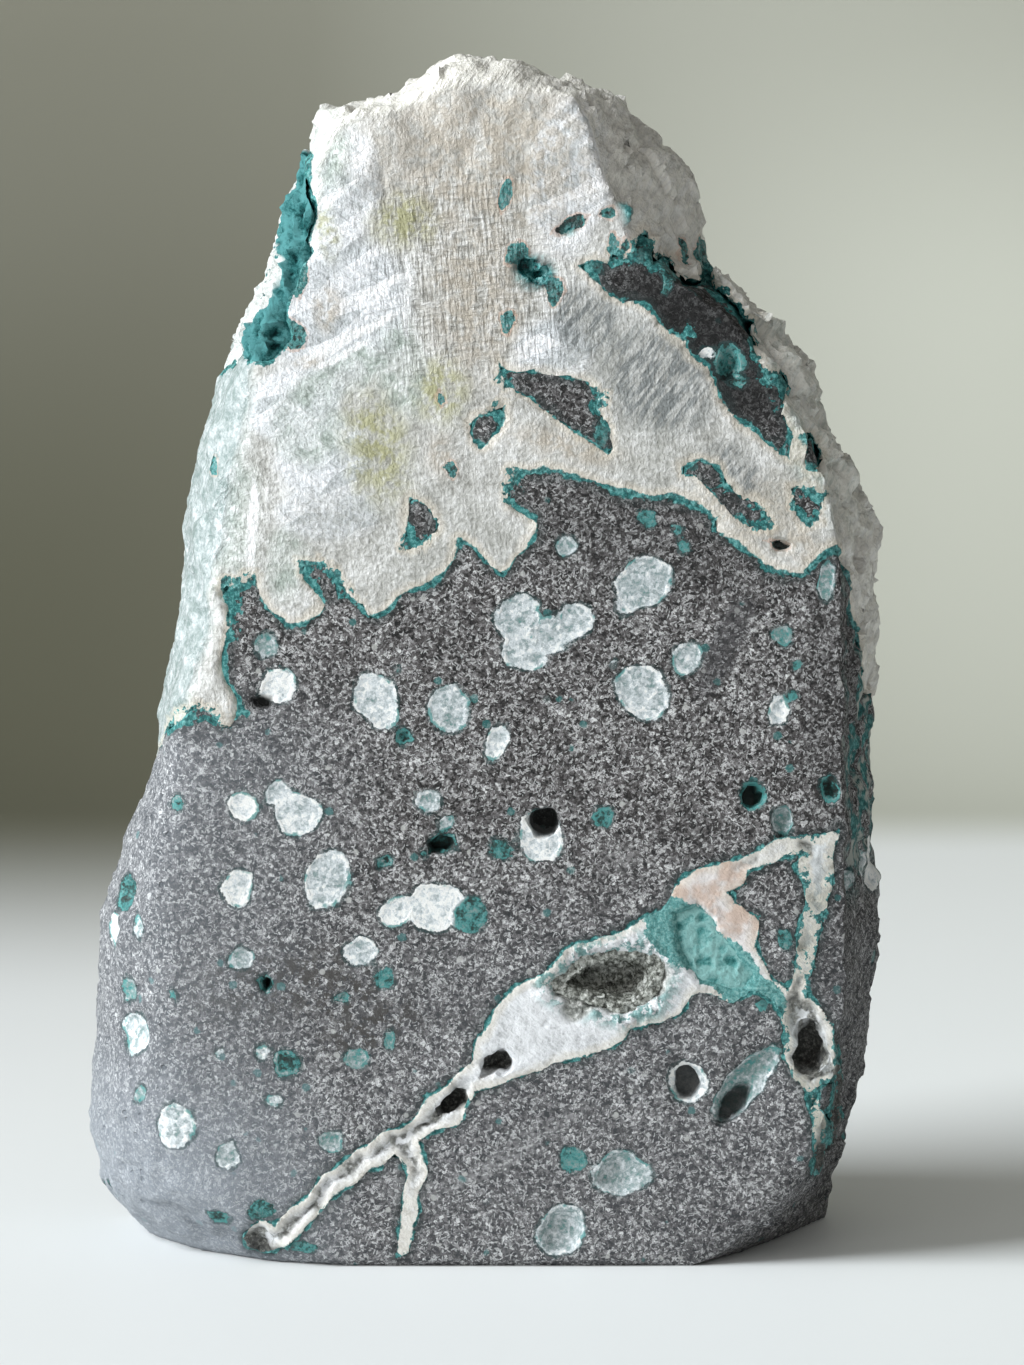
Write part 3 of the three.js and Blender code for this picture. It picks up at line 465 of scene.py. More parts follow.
SMEARED = [(23.2, 62.4, 1.5, 5.5, -24)]
BASALT_PIT = [(5.5, 45.4, 2.4, 2.2, 0)]
SMALL_HOLES = [(19.4, 18.6, 1.1, 1.4, 0), (24.3, 16.4, 2.2, 0.9, 50), (-22.3, 56.9, 0.8, 0.7, 0),
               (-36.6, 37.6, 0.8, 0.9, 0), (-5.3, 42.3, 0.8, 0.6, 0), (-22.4, 28.4, 0.5, 0.6, 0),
               (26.1, 47.2, 0.8, 0.7, 0)]
VEIN_HOLES = [(0.3, 20.5, 3.2, 2.4, 20), (-3.7, 16.7, 3.2, 2.2, 40), (31.9, 21.9, 2.2, 4, 0)]
VUG_LINING = [(12.2, 28.6, 5.8, 2.7, 8), (9.2, 26.8, 2.6, 1.6, 40)]
TURQUOISE = [(19, 33.6, 4.4, 3, -40), (23.6, 29.8, 4.4, 2.6, -42), (27.6, 27.6, 2.4, 1.2, -40)]
PEACH = [(22.6, 38.0, 4.5, 2.8, 10), (24.6, 34.4, 2.6, 2.6, 0)]
# DARK is a darker band of the basalt wedge. DIM_AND_PAINTED_SHADE paints shade on the right wall, which faces
# away from the window, and on patches near the crown.
DARK = [(20, 92, 12, 5.5, -44)]
DIM_AND_PAINTED_SHADE = [(6.5, 86.5, 6, 4, -30), (-7, 74, 3, 3, 0), (34, 50, 3.5, 60, 0), (24, 76.5, 6, 3, -40),
       (33, 80, 3, 6, 0), (16, 73, 17, 6, -8)]
GREYED = [(31.8, 36, 3.2, 8, 0), (32.6, 15, 3.4, 8, 0), (28.5, 24.5, 3, 3, 0)]
THICK_RIM = [(15.5, 101.2, 6, 1.6, -12), (24.5, 97, 4, 1.6, -40), (27.5, 89, 2, 3, 0),
             (20.5, 94.5, 2.5, 2, 0), (-7.5, 72.6, 2, 1.2, 0), (-16.8, 70.3, 2.4, 1.2, -20),
             (-13.5, 67.5, 1.6, 1.2, 0), (-25.2, 66, 1, 3.4, 0), (-24.8, 69, 1.6, 1.2, 0),
             (-28, 55.6, 4, 1.4, 0), (11.2, 86.6, 1.2, 2, 0), (0.4, 87.3, 1.2, 2, 0),
             (31.5, 76.4, 2.4, 2.4, 0), (26.5, 74.5, 2, 1, -30), (1.6, 78, 1.4, 2.4, 0)]
STRANDS = [(-14, 9, 15, 3.2, 36), (-8, 6, 2.4, 7, 0), (32.4, 15, 3.4, 8, 0), (31.6, 30, 2.4, 7, 0),
           (28, 41.5, 4, 1.6, 14)]


def zone(places, ellipses, soft=0.6):
    """1 inside any of the ellipses, 0 well outside, and a soft border between."""
    inside = np.zeros(len(places))
    for right, up, wide, high, turn in ellipses:
        angle = math.radians(turn)
        dx = places[:, 0] - right
        dz = places[:, 2] - up
        along = (dx * math.cos(angle) + dz * math.sin(angle)) / wide
        across = (dz * math.cos(angle) - dx * math.sin(angle)) / high
        inside = np.maximum(inside, 1 - smooth(np.sqrt(along**2 + across**2), 1 - soft, 1 + soft))
    return inside


print("zones ready")

# %% [markdown]
# ## Relief
# The saw left the face flat, the left edge and the base were ground, and the rest is broken. So the
# relief is a formula of the depth behind the face: nothing on the face itself, and facets and lumps
# behind it. Open bubbles are pressed in along the normal.

# %% Relief of each mineral
SHARP_EDGE = math.radians(48)
SMALL_HOLE_DEPTH = 1.1  # mm
GREEN_HOLLOW_DEPTH = 0.9  # mm
CORNER_PUSH = 1.3  # mm, the lower left corner stands out by this much
TOP_LIFT = 1.1  # mm, gives back what the wear took off the top
TOP_SHIFTS = [(-19, 0), (-14.5, -1.6), (-9.2, -2.3), (-6.9, -1.6), (-4, -0.3), (0, 0.1), (5, -0.8),
              (9.5, -1.1), (12, -0.7), (16, 0)]  # mm right, and the shift of the top there in mm


def keep(piece, **fields):
    """Stores values on the points of a piece, for its material to read."""
    for name, values in fields.items():
        layer = piece.data.attributes.new(name, "FLOAT", "POINT")
        layer.data.foreach_set("value", values.astype(np.float32))


def shape(piece, places, height):
    """Moves the points of a piece by the ragged field and by a height along their normals."""
    moved = places + ragged(places) + normals_of(piece.data) * height[:, None]
    set_points(piece.data, in_scene(moved))
    piece.data.set_sharp_from_angle(angle=SHARP_EDGE)


broken = smooth(basalt_places[:, 1], 0.4, 3.0) * smooth(basalt_places[:, 2], 0.4, 3.0)
ground_edge = 1 - smooth(basalt_places[:, 0], -36, -27)
ground_edge *= 1 - smooth(basalt_places[:, 1], 14, 22)
broken_basalt = broken * (1 - 0.8 * ground_edge)
basalt_height = broken_basalt * (
    0.55 * facets(basalt_places, 5.0, 31)
    + 0.4 * lumps(basalt_places, 2.6, 32)
    + 0.22 * lumps(basalt_places, 1.1, 33)
    - 0.4
)
small_hole = zone(basalt_places, SMALL_HOLES, 0.25) * (1 - smooth(basalt_places[:, 1], 4, 8))
basalt_height -= SMALL_HOLE_DEPTH * small_hole
basalt_height += 0.05 * lumps(basalt_places, 0.9, 34)
basalt_height -= 0.1 * (1 - smooth(filling, -0.25, 0.05)) * smooth(filling_tone, 0.3, 0.6)
hollow = ((filling_tone < 0.5) & (basalt_places[:, 1] > 3)) | (filling_tone < 0.16)
basalt_height -= np.where(hollow, GREEN_HOLLOW_DEPTH * (1 - smooth(filling, -0.9, 0.1)), 0)
corner = smooth(-basalt_places[:, 0], 26, 34) * (1 - smooth(basalt_places[:, 2], 10, 24))
basalt_places[:, 0] -= CORNER_PUSH * corner * smooth(basalt_places[:, 2], -1, 4)
shape(basalt, basalt_places, basalt_height)

crown_places = on_face(points_of(crown.data))
crown_broken = smooth(crown_places[:, 1], 0.35, 2.2)
glassy_side = (1 - smooth(crown_places[:, 0], -24, -12)) * (1 - smooth(crown_places[:, 1], 12, 20))
crown_broken *= 1 - 0.7 * glassy_side
crown_height = crown_broken * (
    0.75 * facets(crown_places, 4.2, 41)
    + 0.4 * facets(crown_places, 1.7, 42)
    + 0.12 * lumps(crown_places, 0.8, 43)
    - 0.3
)
crown_height += 0.04 * lumps(crown_places, 1.2, 44)
top_relief = 0.3 * lumps(crown_places, 3.4, 45) + 0.15 * facets(crown_places, 1.6, 46)
crown_height += smooth(crown_places[:, 2], 103, 112) * top_relief
crown_pit = zone(crown_places, CROWN_PITS, 0.2) * smooth(crown_places[:, 1], 0.15, 0.6)
crown_height += crown_pit * (0.7 + 1.2 * lumps(crown_places, 1.7, 47) + 0.3 * lumps(crown_places, 0.7, 48))
top_shift = np.interp(crown_places[:, 0], *zip(*TOP_SHIFTS))
crown_up = crown_places[:, 2]
crown_places[:, 2] += TOP_LIFT * smooth(crown_up, 100, 118) + top_shift * smooth(crown_up, 97, 112)
shape(crown, crown_places, crown_height)

vein_places = on_face(points_of(vein.data))
vug_near = 1 - smooth(nearest_on("vug_druse", points_of(vein.data) / MM, 8.0)[0], 1.0, 2.8)
pocket_near = 1 - smooth(nearest_on("celadonite_pocket", points_of(vein.data) / MM, 8.0)[0], 0.5, 2.0)
near_hole = zone(vein_places, VEIN_HOLES, 0.3) * smooth(vein_seam, 0.3, 1.0)
for axis, seed in ((0, 151), (2, 152)):
    wander = 0.55 * lumps(vein_places, 1.5, seed) + 0.2 * lumps(vein_places, 0.7, seed + 5)
    vein_places[:, axis] += near_hole * wander
bead = 0.3 * lumps(vein_places, 1.7, 53) + 0.15 * lumps(vein_places, 0.7, 54)
lining = zone(vein_places, VUG_LINING, 0.16) * smooth(vein_seam, 0.2, 0.7)
vein_hollow = zone(vein_places, STRANDS, 0.2) * smooth(vein_seam + bead, 0.42, 0.75)
vein_height = 0.06 * lumps(vein_places, 0.7, 51) + 0.05 * facets(vein_places, 1.4, 52) - 0.5 * vein_hollow
crumbly = np.maximum(vug_near, lining)
vein_height += crumbly * 0.36 * facets(vein_places, 0.9, 55) + 0.12 * vug_near - 0.55 * lining
vein_pit = smooth(vein_places[:, 1], 0.5, 1.6) * (1 - vug_near) * (1 - pocket_near)
vein_height += vein_pit * (0.35 * lumps(vein_places, 1.0, 56) + 0.2 * facets(vein_places, 0.7, 57))
shape(vein, vein_places, vein_height)

druse_places = on_face(points_of(druse.data))
shape(druse, druse_places, 0.34 * facets(druse_places, 0.95, 61) + 0.08 * lumps(druse_places, 0.4, 62))


def knobbly(piece, neighbour, size, reach, seed):
    """Rounded knobs on an earthy lump, with creases between them, calm where it touches its neighbour."""
    places = on_face(points_of(piece.data))
    free = smooth(nearest_on(neighbour, points_of(piece.data) / MM, 8.0)[0], 0.1, 0.9)
    free *= 1 - 0.6 * smooth(places[:, 1], 4, 7)
    knobs = 1 - 2 * np.abs(lumps(places, size, seed))
    fine = lumps(places, size / 3, seed + 1)
    shape(piece, places, free * reach * (knobs + 0.6 * fine - 0.3))
    return places, knobs


pocket_places, pocket_knobs = knobbly(pocket, "zeolite_vein", 1.1, 0.22, 71)
shoulder_places, shoulder_knobs = knobbly(shoulder, "apophyllite_crown", 1.5, 0.75, 81)
skins = (basalt, crown, vein, druse, pocket, shoulder)
print("relief on", sum(len(skin.data.vertices) for skin in skins), "points")

# %% What the materials will read
# mm up, and mm behind the face
WHITE_SKIN_STARTS = [(90, 4.4), (94, 4.0), (95.5, 1.3), (100.5, 1.3), (102.5, 7)]
CROWN_FLECKS = [
    (-4.1, 79.8, 0.6, 0.7, 0, 0.34), (-5.0, 86.6, 0.4, 0.6, 0, 0.34), (1.5, 106.9, 0.6, 1.2, -10, 0.4),
    (1.7, 93.9, 0.7, 1.1, 0, 0.34), (2.6, 101.0, 1.2, 1.0, 30, 0.36), (6.2, 97.2, 1.0, 1.2, -20, 0.3),
    (7.7, 103.6, 1.5, 0.7, 30, 0.02), (11.6, 104.9, 0.7, 0.7, 0, 0.0), (28.2, 72.3, 1.3, 0.5, -8, 0.0),
    (-17.9, 104.4, 0.8, 0.7, 0, 0.33), (-18.4, 101.4, 1.1, 0.9, 0, 0.33), (-18.7, 98.6, 0.8, 1.8, 0, 0.33),
    (-19.7, 93.2, 1.3, 1.5, 0, 0.34), (-21.4, 91.2, 1.4, 0.9, 0, 0.33), (-27.4, 80.2, 0.6, 1.1, 20, 0.33),
    (-26.8, 86.2, 0.8, 1.3, -20, 0.33), (14.8, 103.0, 0.8, 2.3, 0, 0.34), (15.6, 101.6, 1.8, 1.0, 0, 0.33),
    (12.0, 101.9, 0.5, 1.1, 0, 0.32), (17.5, 100.9, 0.7, 1.5, 0, 0.28), (19.2, 101.0, 0.6, 1.7, 10, 0.28),
    (21.2, 100.2, 1.0, 2.0, 0, 0.33), (13.4, 101.8, 0.6, 0.8, 0, 0.3), (22.8, 98.6, 0.8, 1.4, 20, 0.3),
]
flecks, fleck_tone = nearest_spot(crown_places, ellipsoids("apophyllite_crown", CROWN_FLECKS))
right_wall = smooth(basalt_places[:, 0], 33.5, 36) * smooth(basalt_places[:, 1], 0.3, 2.5)
wall_middle = 1 - smooth(np.abs(basalt_places[:, 2] - 58), 14, 24)
right_wall *= (1 - smooth(basalt_places[:, 1], 14, 24)) * wall_middle
# Painted sheen: a paler bluish tint on the ground left side and, weaker, on the lower face, standing in for
# the window's light. The same mask lowers the roughness of the ground side.
ground = (1 - smooth(basalt_places[:, 0], -32, -6)) * (1 - smooth(basalt_places[:, 2], 50, 64))
ground *= 0.85 + 1.4 * (1 - smooth(basalt_places[:, 2], 6, 26))
ground = np.maximum(ground, 0.35 * (1 - smooth(basalt_places[:, 2], 25, 48)))
big_pit = zone(basalt_places, BASALT_PIT, 0.2) * smooth(basalt_places[:, 1], 0.5, 1.4)
# Darker wedge stone, and painted shade on the right wall and near the crown.
dark_wedge_and_painted_shade = np.maximum(zone(basalt_places, DARK), 0.4 * zone(basalt_places, DIM_AND_PAINTED_SHADE))
keep(basalt, seam=basalt_seam, filling=filling, tone=filling_tone, depth=basalt_places[:, 1],
     wall=right_wall, dark=dark_wedge_and_painted_shade, thick=zone(basalt_places, THICK_RIM),
     rusty=zone(basalt_places, RUSTY), scratched=zone(basalt_places, SCRATCHED, 0.3),
     smeared=zone(basalt_places, SMEARED, 0.3), ground=ground, pit=np.maximum(small_hole, big_pit))
keep(crown, seam=crown_seam, shoulder_seam=crown_shoulder_seam, filling=flecks, tone=fleck_tone,
     depth=crown_places[:, 1], thick=zone(crown_places, THICK_RIM), warm=zone(crown_places, WARM),
     olive=zone(crown_places, OLIVE), clear=zone(crown_places, CLEAR, 0.4),
     cool=zone(crown_places, COOL, 0.18),
     striped=zone(crown_places, STRIPED, 0.35), shaded=zone(crown_places, SHADED), pit=crown_pit,
     cleaved=zone(crown_places, CLEAVED, 0.4), lattice=zone(crown_places, LATTICE), glassy=glassy_side)
keep(vein, seam=vein_seam, depth=vein_places[:, 1], peach=zone(vein_places, PEACH), hollow=vein_hollow,
     crust=crumbly, lining=lining, turquoise=zone(vein_places, TURQUOISE, 0.35), pit=vein_pit,
     greyed=zone(vein_places, GREYED, 0.4))
keep(pocket, knobs=pocket_knobs, outer=np.zeros(len(pocket_places)))
outer_start = np.interp(shoulder_places[:, 2], *zip(*WHITE_SKIN_STARTS))
keep(shoulder, knobs=shoulder_knobs, outer=smooth(shoulder_places[:, 1] - outer_start, 0, 0.9))
print("zones stored on the skins")

# %% [markdown]
# ## Helpers for materials
# A material is a small network. These helpers add a node, set its inputs and join it to others, so
# that each material below reads as a recipe.

# %% Node helpers
def put(tree, kind, inputs=(), **settings):
    """Adds a node; inputs is a dict of socket name or number to a value or another node's output."""
    node = tree.nodes.new(kind)
    for name, value in settings.items():
        setattr(node, name, value)
    for name, value in dict(inputs).items():
        if isinstance(value, bpy.types.NodeSocket):
            tree.links.new(value, node.inputs[name])
        else:
            node.inputs[name].default_value = value
    return node


def maths(tree, operation, *values):
    return put(tree, "ShaderNodeMath", dict(enumerate(values)), operation=operation).outputs[0]


def times(tree, first, second):
    return maths(tree, "MULTIPLY", first, second)


def scaled(tree, value, factor, start):
    """A value times a factor, on top of a start."""
    return maths(tree, "MULTIPLY_ADD", value, factor, start)


def between(tree, value, start, end, low=0.0, high=1.0):
    """A value remapped softly from start-end to low-high."""
    node = put(tree, "ShaderNodeMapRange", {0: value, 1: start, 2: end, 3: low, 4: high},
               interpolation_type="SMOOTHSTEP")
    return node.outputs[0]


def mixed(tree, share, first, second):
    """One colour over another by a share."""
    return put(tree, "ShaderNodeMix", {0: share, 6: first, 7: second}, data_type="RGBA").outputs[2]


def stored(tree, name):
    return put(tree, "ShaderNodeAttribute", attribute_name=name).outputs["Fac"]


def millimetres(tree):
    """The place of a surface point in millimetres."""
    place = put(tree, "ShaderNodeTexCoord").outputs["Object"]
    return put(tree, "ShaderNodeVectorMath", {0: place, 1: (1 / MM,) * 3}, operation="MULTIPLY").outputs[0]


def noise(tree, place, size, detail=2.0, roughness=0.5):
    """Soft noise with lumps of a size in mm, from 0 to 1."""
    node = put(tree, "ShaderNodeTexNoise", {"Vector": place, "Scale": 1 / size, "Detail": detail,
                                            "Roughness": roughness})
    return node.outputs[0]


def ramp(tree, value, stops, interpolation="LINEAR"):
    """A colour ramp from a list of (position, colour)."""
    node = put(tree, "ShaderNodeValToRGB", {0: value})
    band = node.color_ramp
    band.interpolation = interpolation
    while len(band.elements) < len(stops):
        band.elements.new(1.0)
    for element, (position, colour) in zip(band.elements, stops):
        element.position = position
        element.color = (*colour, 1.0)
    return node.outputs[0]


def grey(level):
    return (level, level, level)


def group(name, inputs, outputs):
    """An empty shader node group with named sockets, and its input and output nodes."""
    tree = bpy.data.node_groups.new(name, "ShaderNodeTree")
    for socket, kind, value in inputs:
        made = tree.interface.new_socket(socket, in_out="INPUT", socket_type=kind)
        if value is not None:
            made.default_value = value
    for socket, kind in outputs:
        tree.interface.new_socket(socket, in_out="OUTPUT", socket_type=kind)
    return tree, tree.nodes.new("NodeGroupInput"), tree.nodes.new("NodeGroupOutput")


def use(tree, effect, **inputs):
    """A shared effect in a material: keywords are its input names, with _ for a space."""
    node = put(tree, "ShaderNodeGroup", (), node_tree=effect)
    for name, value in inputs.items():
        socket = node.inputs[name.replace("_", " ")]
        if isinstance(value, bpy.types.NodeSocket):
            tree.links.new(value, socket)
        else:
            socket.default_value = value
    return node.outputs


def material(name):
    """A new material with its Principled BSDF."""
    made = bpy.data.materials.new(name)
    made.use_nodes = True
    return made, made.node_tree, made.node_tree.nodes["Principled BSDF"]


def finish_with(piece, made):
    piece.data.materials.append(made)


FLOAT = "NodeSocketFloat"
COLOUR = "NodeSocketColor"
VECTOR = "NodeSocketVector"

# %% [markdown]
# ## Shared effect: celadonite rim
# Celadonite coated the walls before the white minerals filled the space, so every contact carries a
# blue-green line of uneven width. The rim is used on basalt, crown and vein alike. It takes the
# stored distance to the contact and gives a mask, a colour and the soft bloom around it.

# %% Celadonite rim group
DARK_TEAL = (0.008, 0.062, 0.064)
MID_TEAL = (0.028, 0.175, 0.17)
PALE_TEAL = (0.15, 0.40, 0.39)


def build_rim():
    tree, given, out = group(
        "celadonite rim",
        [("Place", VECTOR, None), ("Distance", FLOAT, 1.0), ("Width", FLOAT, 0.3), ("Raggedness", FLOAT, 0.3),
         ("Thick", FLOAT, 0.0)],
        [("Mask", FLOAT), ("Colour", COLOUR), ("Bloom", FLOAT)],
    )
    place = given.outputs["Place"]
    thick = given.outputs["Thick"]
    uneven_width = between(tree, noise(tree, place, 2.4, 3.0), 0.36, 0.66, 0.45, 1.5)
    reach = times(tree, given.outputs["Width"], uneven_width)
    knot = between(tree, noise(tree, place, 1.2, 4.0, 0.6), 0.42, 0.62, 0.0, 1.0)
    reach = scaled(tree, knot, thick, reach)
    fray = maths(tree, "SUBTRACT", noise(tree, place, 0.4, 3.0, 0.65), 0.5)
    rough = scaled(tree, thick, 0.8, given.outputs["Raggedness"])
    edge = maths(tree, "SUBTRACT", scaled(tree, fray, rough, given.outputs["Distance"]), reach)
    tree.links.new(between(tree, edge, 0.06, -0.06), out.inputs["Mask"])
    tree.links.new(between(tree, edge, 0.7, 0.05), out.inputs["Bloom"])
    tone = noise(tree, place, 0.5, 3.0, 0.75)
    colour = ramp(tree, tone, [(0.36, DARK_TEAL), (0.5, MID_TEAL), (0.64, PALE_TEAL)])
    tree.links.new(colour, out.inputs["Colour"])
    return tree


RIM = build_rim()
print("group:", RIM.name)

# %% [markdown]
# ## Shared effect: vesicle filling
# A filling shows as a pale disc of small felted crystals with a thin dark outline and a brighter
# ring just inside it. A green one is a lined bubble, so it gets a pale ring and stays dark in the
# middle. The same recipe colours the flecks of celadonite in the crown.

# %% Vesicle filling group
FILLING_TONES = [(0.0, (0.012, 0.018, 0.016)), (0.16, (0.018, 0.06, 0.055)), (0.33, (0.06, 0.25, 0.245)),
                 (0.5, (0.17, 0.26, 0.25)), (0.66, (0.34, 0.39, 0.40)), (0.84, (0.62, 0.66, 0.68)),
                 (1.0, (0.86, 0.86, 0.84))]


def build_filling():
    tree, given, out = group(
        "vesicle filling",
        [("Place", VECTOR, None), ("Distance", FLOAT, 5.0), ("Tone", FLOAT, 0.5)],
        [("Mask", FLOAT), ("Rim", FLOAT), ("Colour", COLOUR), ("Height", FLOAT)],
    )
    place = given.outputs["Place"]
    fray = maths(tree, "SUBTRACT", noise(tree, place, 0.6, 3.0, 0.7), 0.5)
    edge = scaled(tree, fray, 0.8, given.outputs["Distance"])
    tree.links.new(between(tree, edge, 0.05, -0.05), out.inputs["Mask"])
    outline = between(tree, maths(tree, "ABSOLUTE", maths(tree, "SUBTRACT", edge, 0.1)), 0.22, 0.1)
    patchy = noise(tree, place, 1.3, 3.0)
    broken_line = between(tree, patchy, 0.38, 0.58, 0.3, 1.0)
    tree.links.new(times(tree, outline, broken_line), out.inputs["Rim"])
    felt = put(tree, "ShaderNodeTexVoronoi", {"Vector": place, "Scale": 1 / 0.34})
    grain = put(tree, "ShaderNodeSeparateColor", {0: felt.outputs["Color"]}).outputs[0]
    cloud = noise(tree, place, 0.9, 4.0, 0.8)
    mottle = scaled(tree, maths(tree, "SUBTRACT", cloud, 0.53), 1.2,
                   times(tree, maths(tree, "SUBTRACT", grain, 0.5), 0.24))
    pale = between(tree, given.outputs["Tone"], 0.4, 0.6, 0.0, 0.16)
    green = times(tree, between(tree, given.outputs["Tone"], 0.3, 0.18, 0.0, 0.42),
                  between(tree, given.outputs["Tone"], 0.03, 0.06))
    ring = between(tree, maths(tree, "ABSOLUTE", maths(tree, "ADD", edge, 0.22)), 0.24, 0.06)
    ring = times(tree, ring, between(tree, patchy, 0.62, 0.42, 0.3, 1.0))
    tone = maths(tree, "ADD", given.outputs["Tone"], mottle)
    tone = scaled(tree, ring, maths(tree, "ADD", pale, green), tone)
    crescent = between(tree, maths(tree, "ABSOLUTE", maths(tree, "ADD", edge, 0.05)), 0.3, 0.12)
    crescent = times(tree, crescent, between(tree, noise(tree, place, 2.0, 2.0), 0.52, 0.6, 0.0, 0.85))
    colour = mixed(tree, crescent, ramp(tree, tone, FILLING_TONES), (0.07, 0.27, 0.26, 1))
    tree.links.new(colour, out.inputs["Colour"])
    tree.links.new(scaled(tree, ring, 0.5, cloud), out.inputs["Height"])
    return tree


FILLING = build_filling()
print("group:", FILLING.name)

# %% [markdown]
# ## Shared effect: saw marks
# The saw left fine parallel lines on the face, seen on the white minerals as a lattice of faint
# strokes. Noise stretched one way gives such lines on every side; the group also tells where the
# sawn face is, so that a material can keep them to it.

# %% Saw mark group
def build_saw():
    tree, given, out = group(
        "saw marks",
        [("Place", VECTOR, None), ("Depth", FLOAT, 0.0), ("Spacing", FLOAT, 0.5), ("Turn", FLOAT, 0.0)],
        [("Height", FLOAT), ("Face", FLOAT)],
    )
    turned = put(tree, "ShaderNodeVectorRotate",
                 {"Vector": given.outputs["Place"], "Angle": given.outputs["Turn"]},
                 rotation_type="Y_AXIS").outputs[0]
    stretched = put(tree, "ShaderNodeVectorMath", {0: turned, 1: (1.0, 0.3, 0.2)},
                    operation="MULTIPLY").outputs[0]
    size = maths(tree, "DIVIDE", 1.0, given.outputs["Spacing"])
    lines = put(tree, "ShaderNodeTexNoise", {"Vector": stretched, "Scale": size, "Detail": 3.0,
                                             "Roughness": 0.6}).outputs[0]
    tree.links.new(lines, out.inputs["Height"])
    tree.links.new(between(tree, given.outputs["Depth"], 0.7, 0.25), out.inputs["Face"])
    return tree


SAW = build_saw()
print("group:", SAW.name)

# %% [markdown]
# ## Shared effect: long crystals
# Feldspar laths in the basalt and cleavage plates in the crown are both long cells that lie one way.
# Cells of a stretched space give them. The group returns a fixed tone for each crystal and how near
# its middle a point is.

# %% Long crystal group
def build_long():
    tree, given, out = group(
        "long crystals",
        [("Place", VECTOR, None), ("Turn", FLOAT, 0.0), ("Length", FLOAT, 1.0), ("Width", FLOAT, 0.2)],
        [("Tone", FLOAT), ("Middle", FLOAT)],
    )
    turned = put(tree, "ShaderNodeVectorRotate",
                 {"Vector": given.outputs["Place"], "Angle": given.outputs["Turn"]},
                 rotation_type="Y_AXIS").outputs[0]
    along = maths(tree, "DIVIDE", 1.0, given.outputs["Length"])
    across = maths(tree, "DIVIDE", 1.0, given.outputs["Width"])
    scale = put(tree, "ShaderNodeCombineXYZ", {0: along, 1: across, 2: across}).outputs[0]
    cells = put(tree, "ShaderNodeTexVoronoi", {"Vector": put(tree, "ShaderNodeVectorMath",
                {0: turned, 1: scale},
                operation="MULTIPLY").outputs[0], "Scale": 1.0})
    tone = put(tree, "ShaderNodeSeparateColor", {0: cells.outputs["Color"]}).outputs[0]
    tree.links.new(tone, out.inputs["Tone"])
    tree.links.new(between(tree, cells.outputs["Distance"], 0.55, 0.35), out.inputs["Middle"])
    return tree


LONG = build_long()
print("group:", LONG.name)


def bumped(tree, height, distance, strength=1.0):
    """A bump node's normal for a height from 0 to 1 and its full depth in mm."""
    settings = {"Height": height, "Distance": distance * MM, "Strength": strength}
    return put(tree, "ShaderNodeBump", settings).outputs[0]


# %% [markdown]
# ## Basalt
# Sawn basalt is a felt of grains a third of a millimetre across: dark augite, grey glass and pale
# laths of feldspar that lie every way. Cells with fixed tones give the grains, long cells the laths,
# and soft blotches keep it from looking even. The ground left side and the lower face get painted
# sheen, a paler bluish tint, and the ground side a lower roughness. The wedge is darker, and painted
# shade darkens the right wall, patches near the crown and the holes. Rusty specks and scratches sit
# where they are on the face.

# %% Basalt material
LATH_TURNS = (20, 75, 140)  # degrees


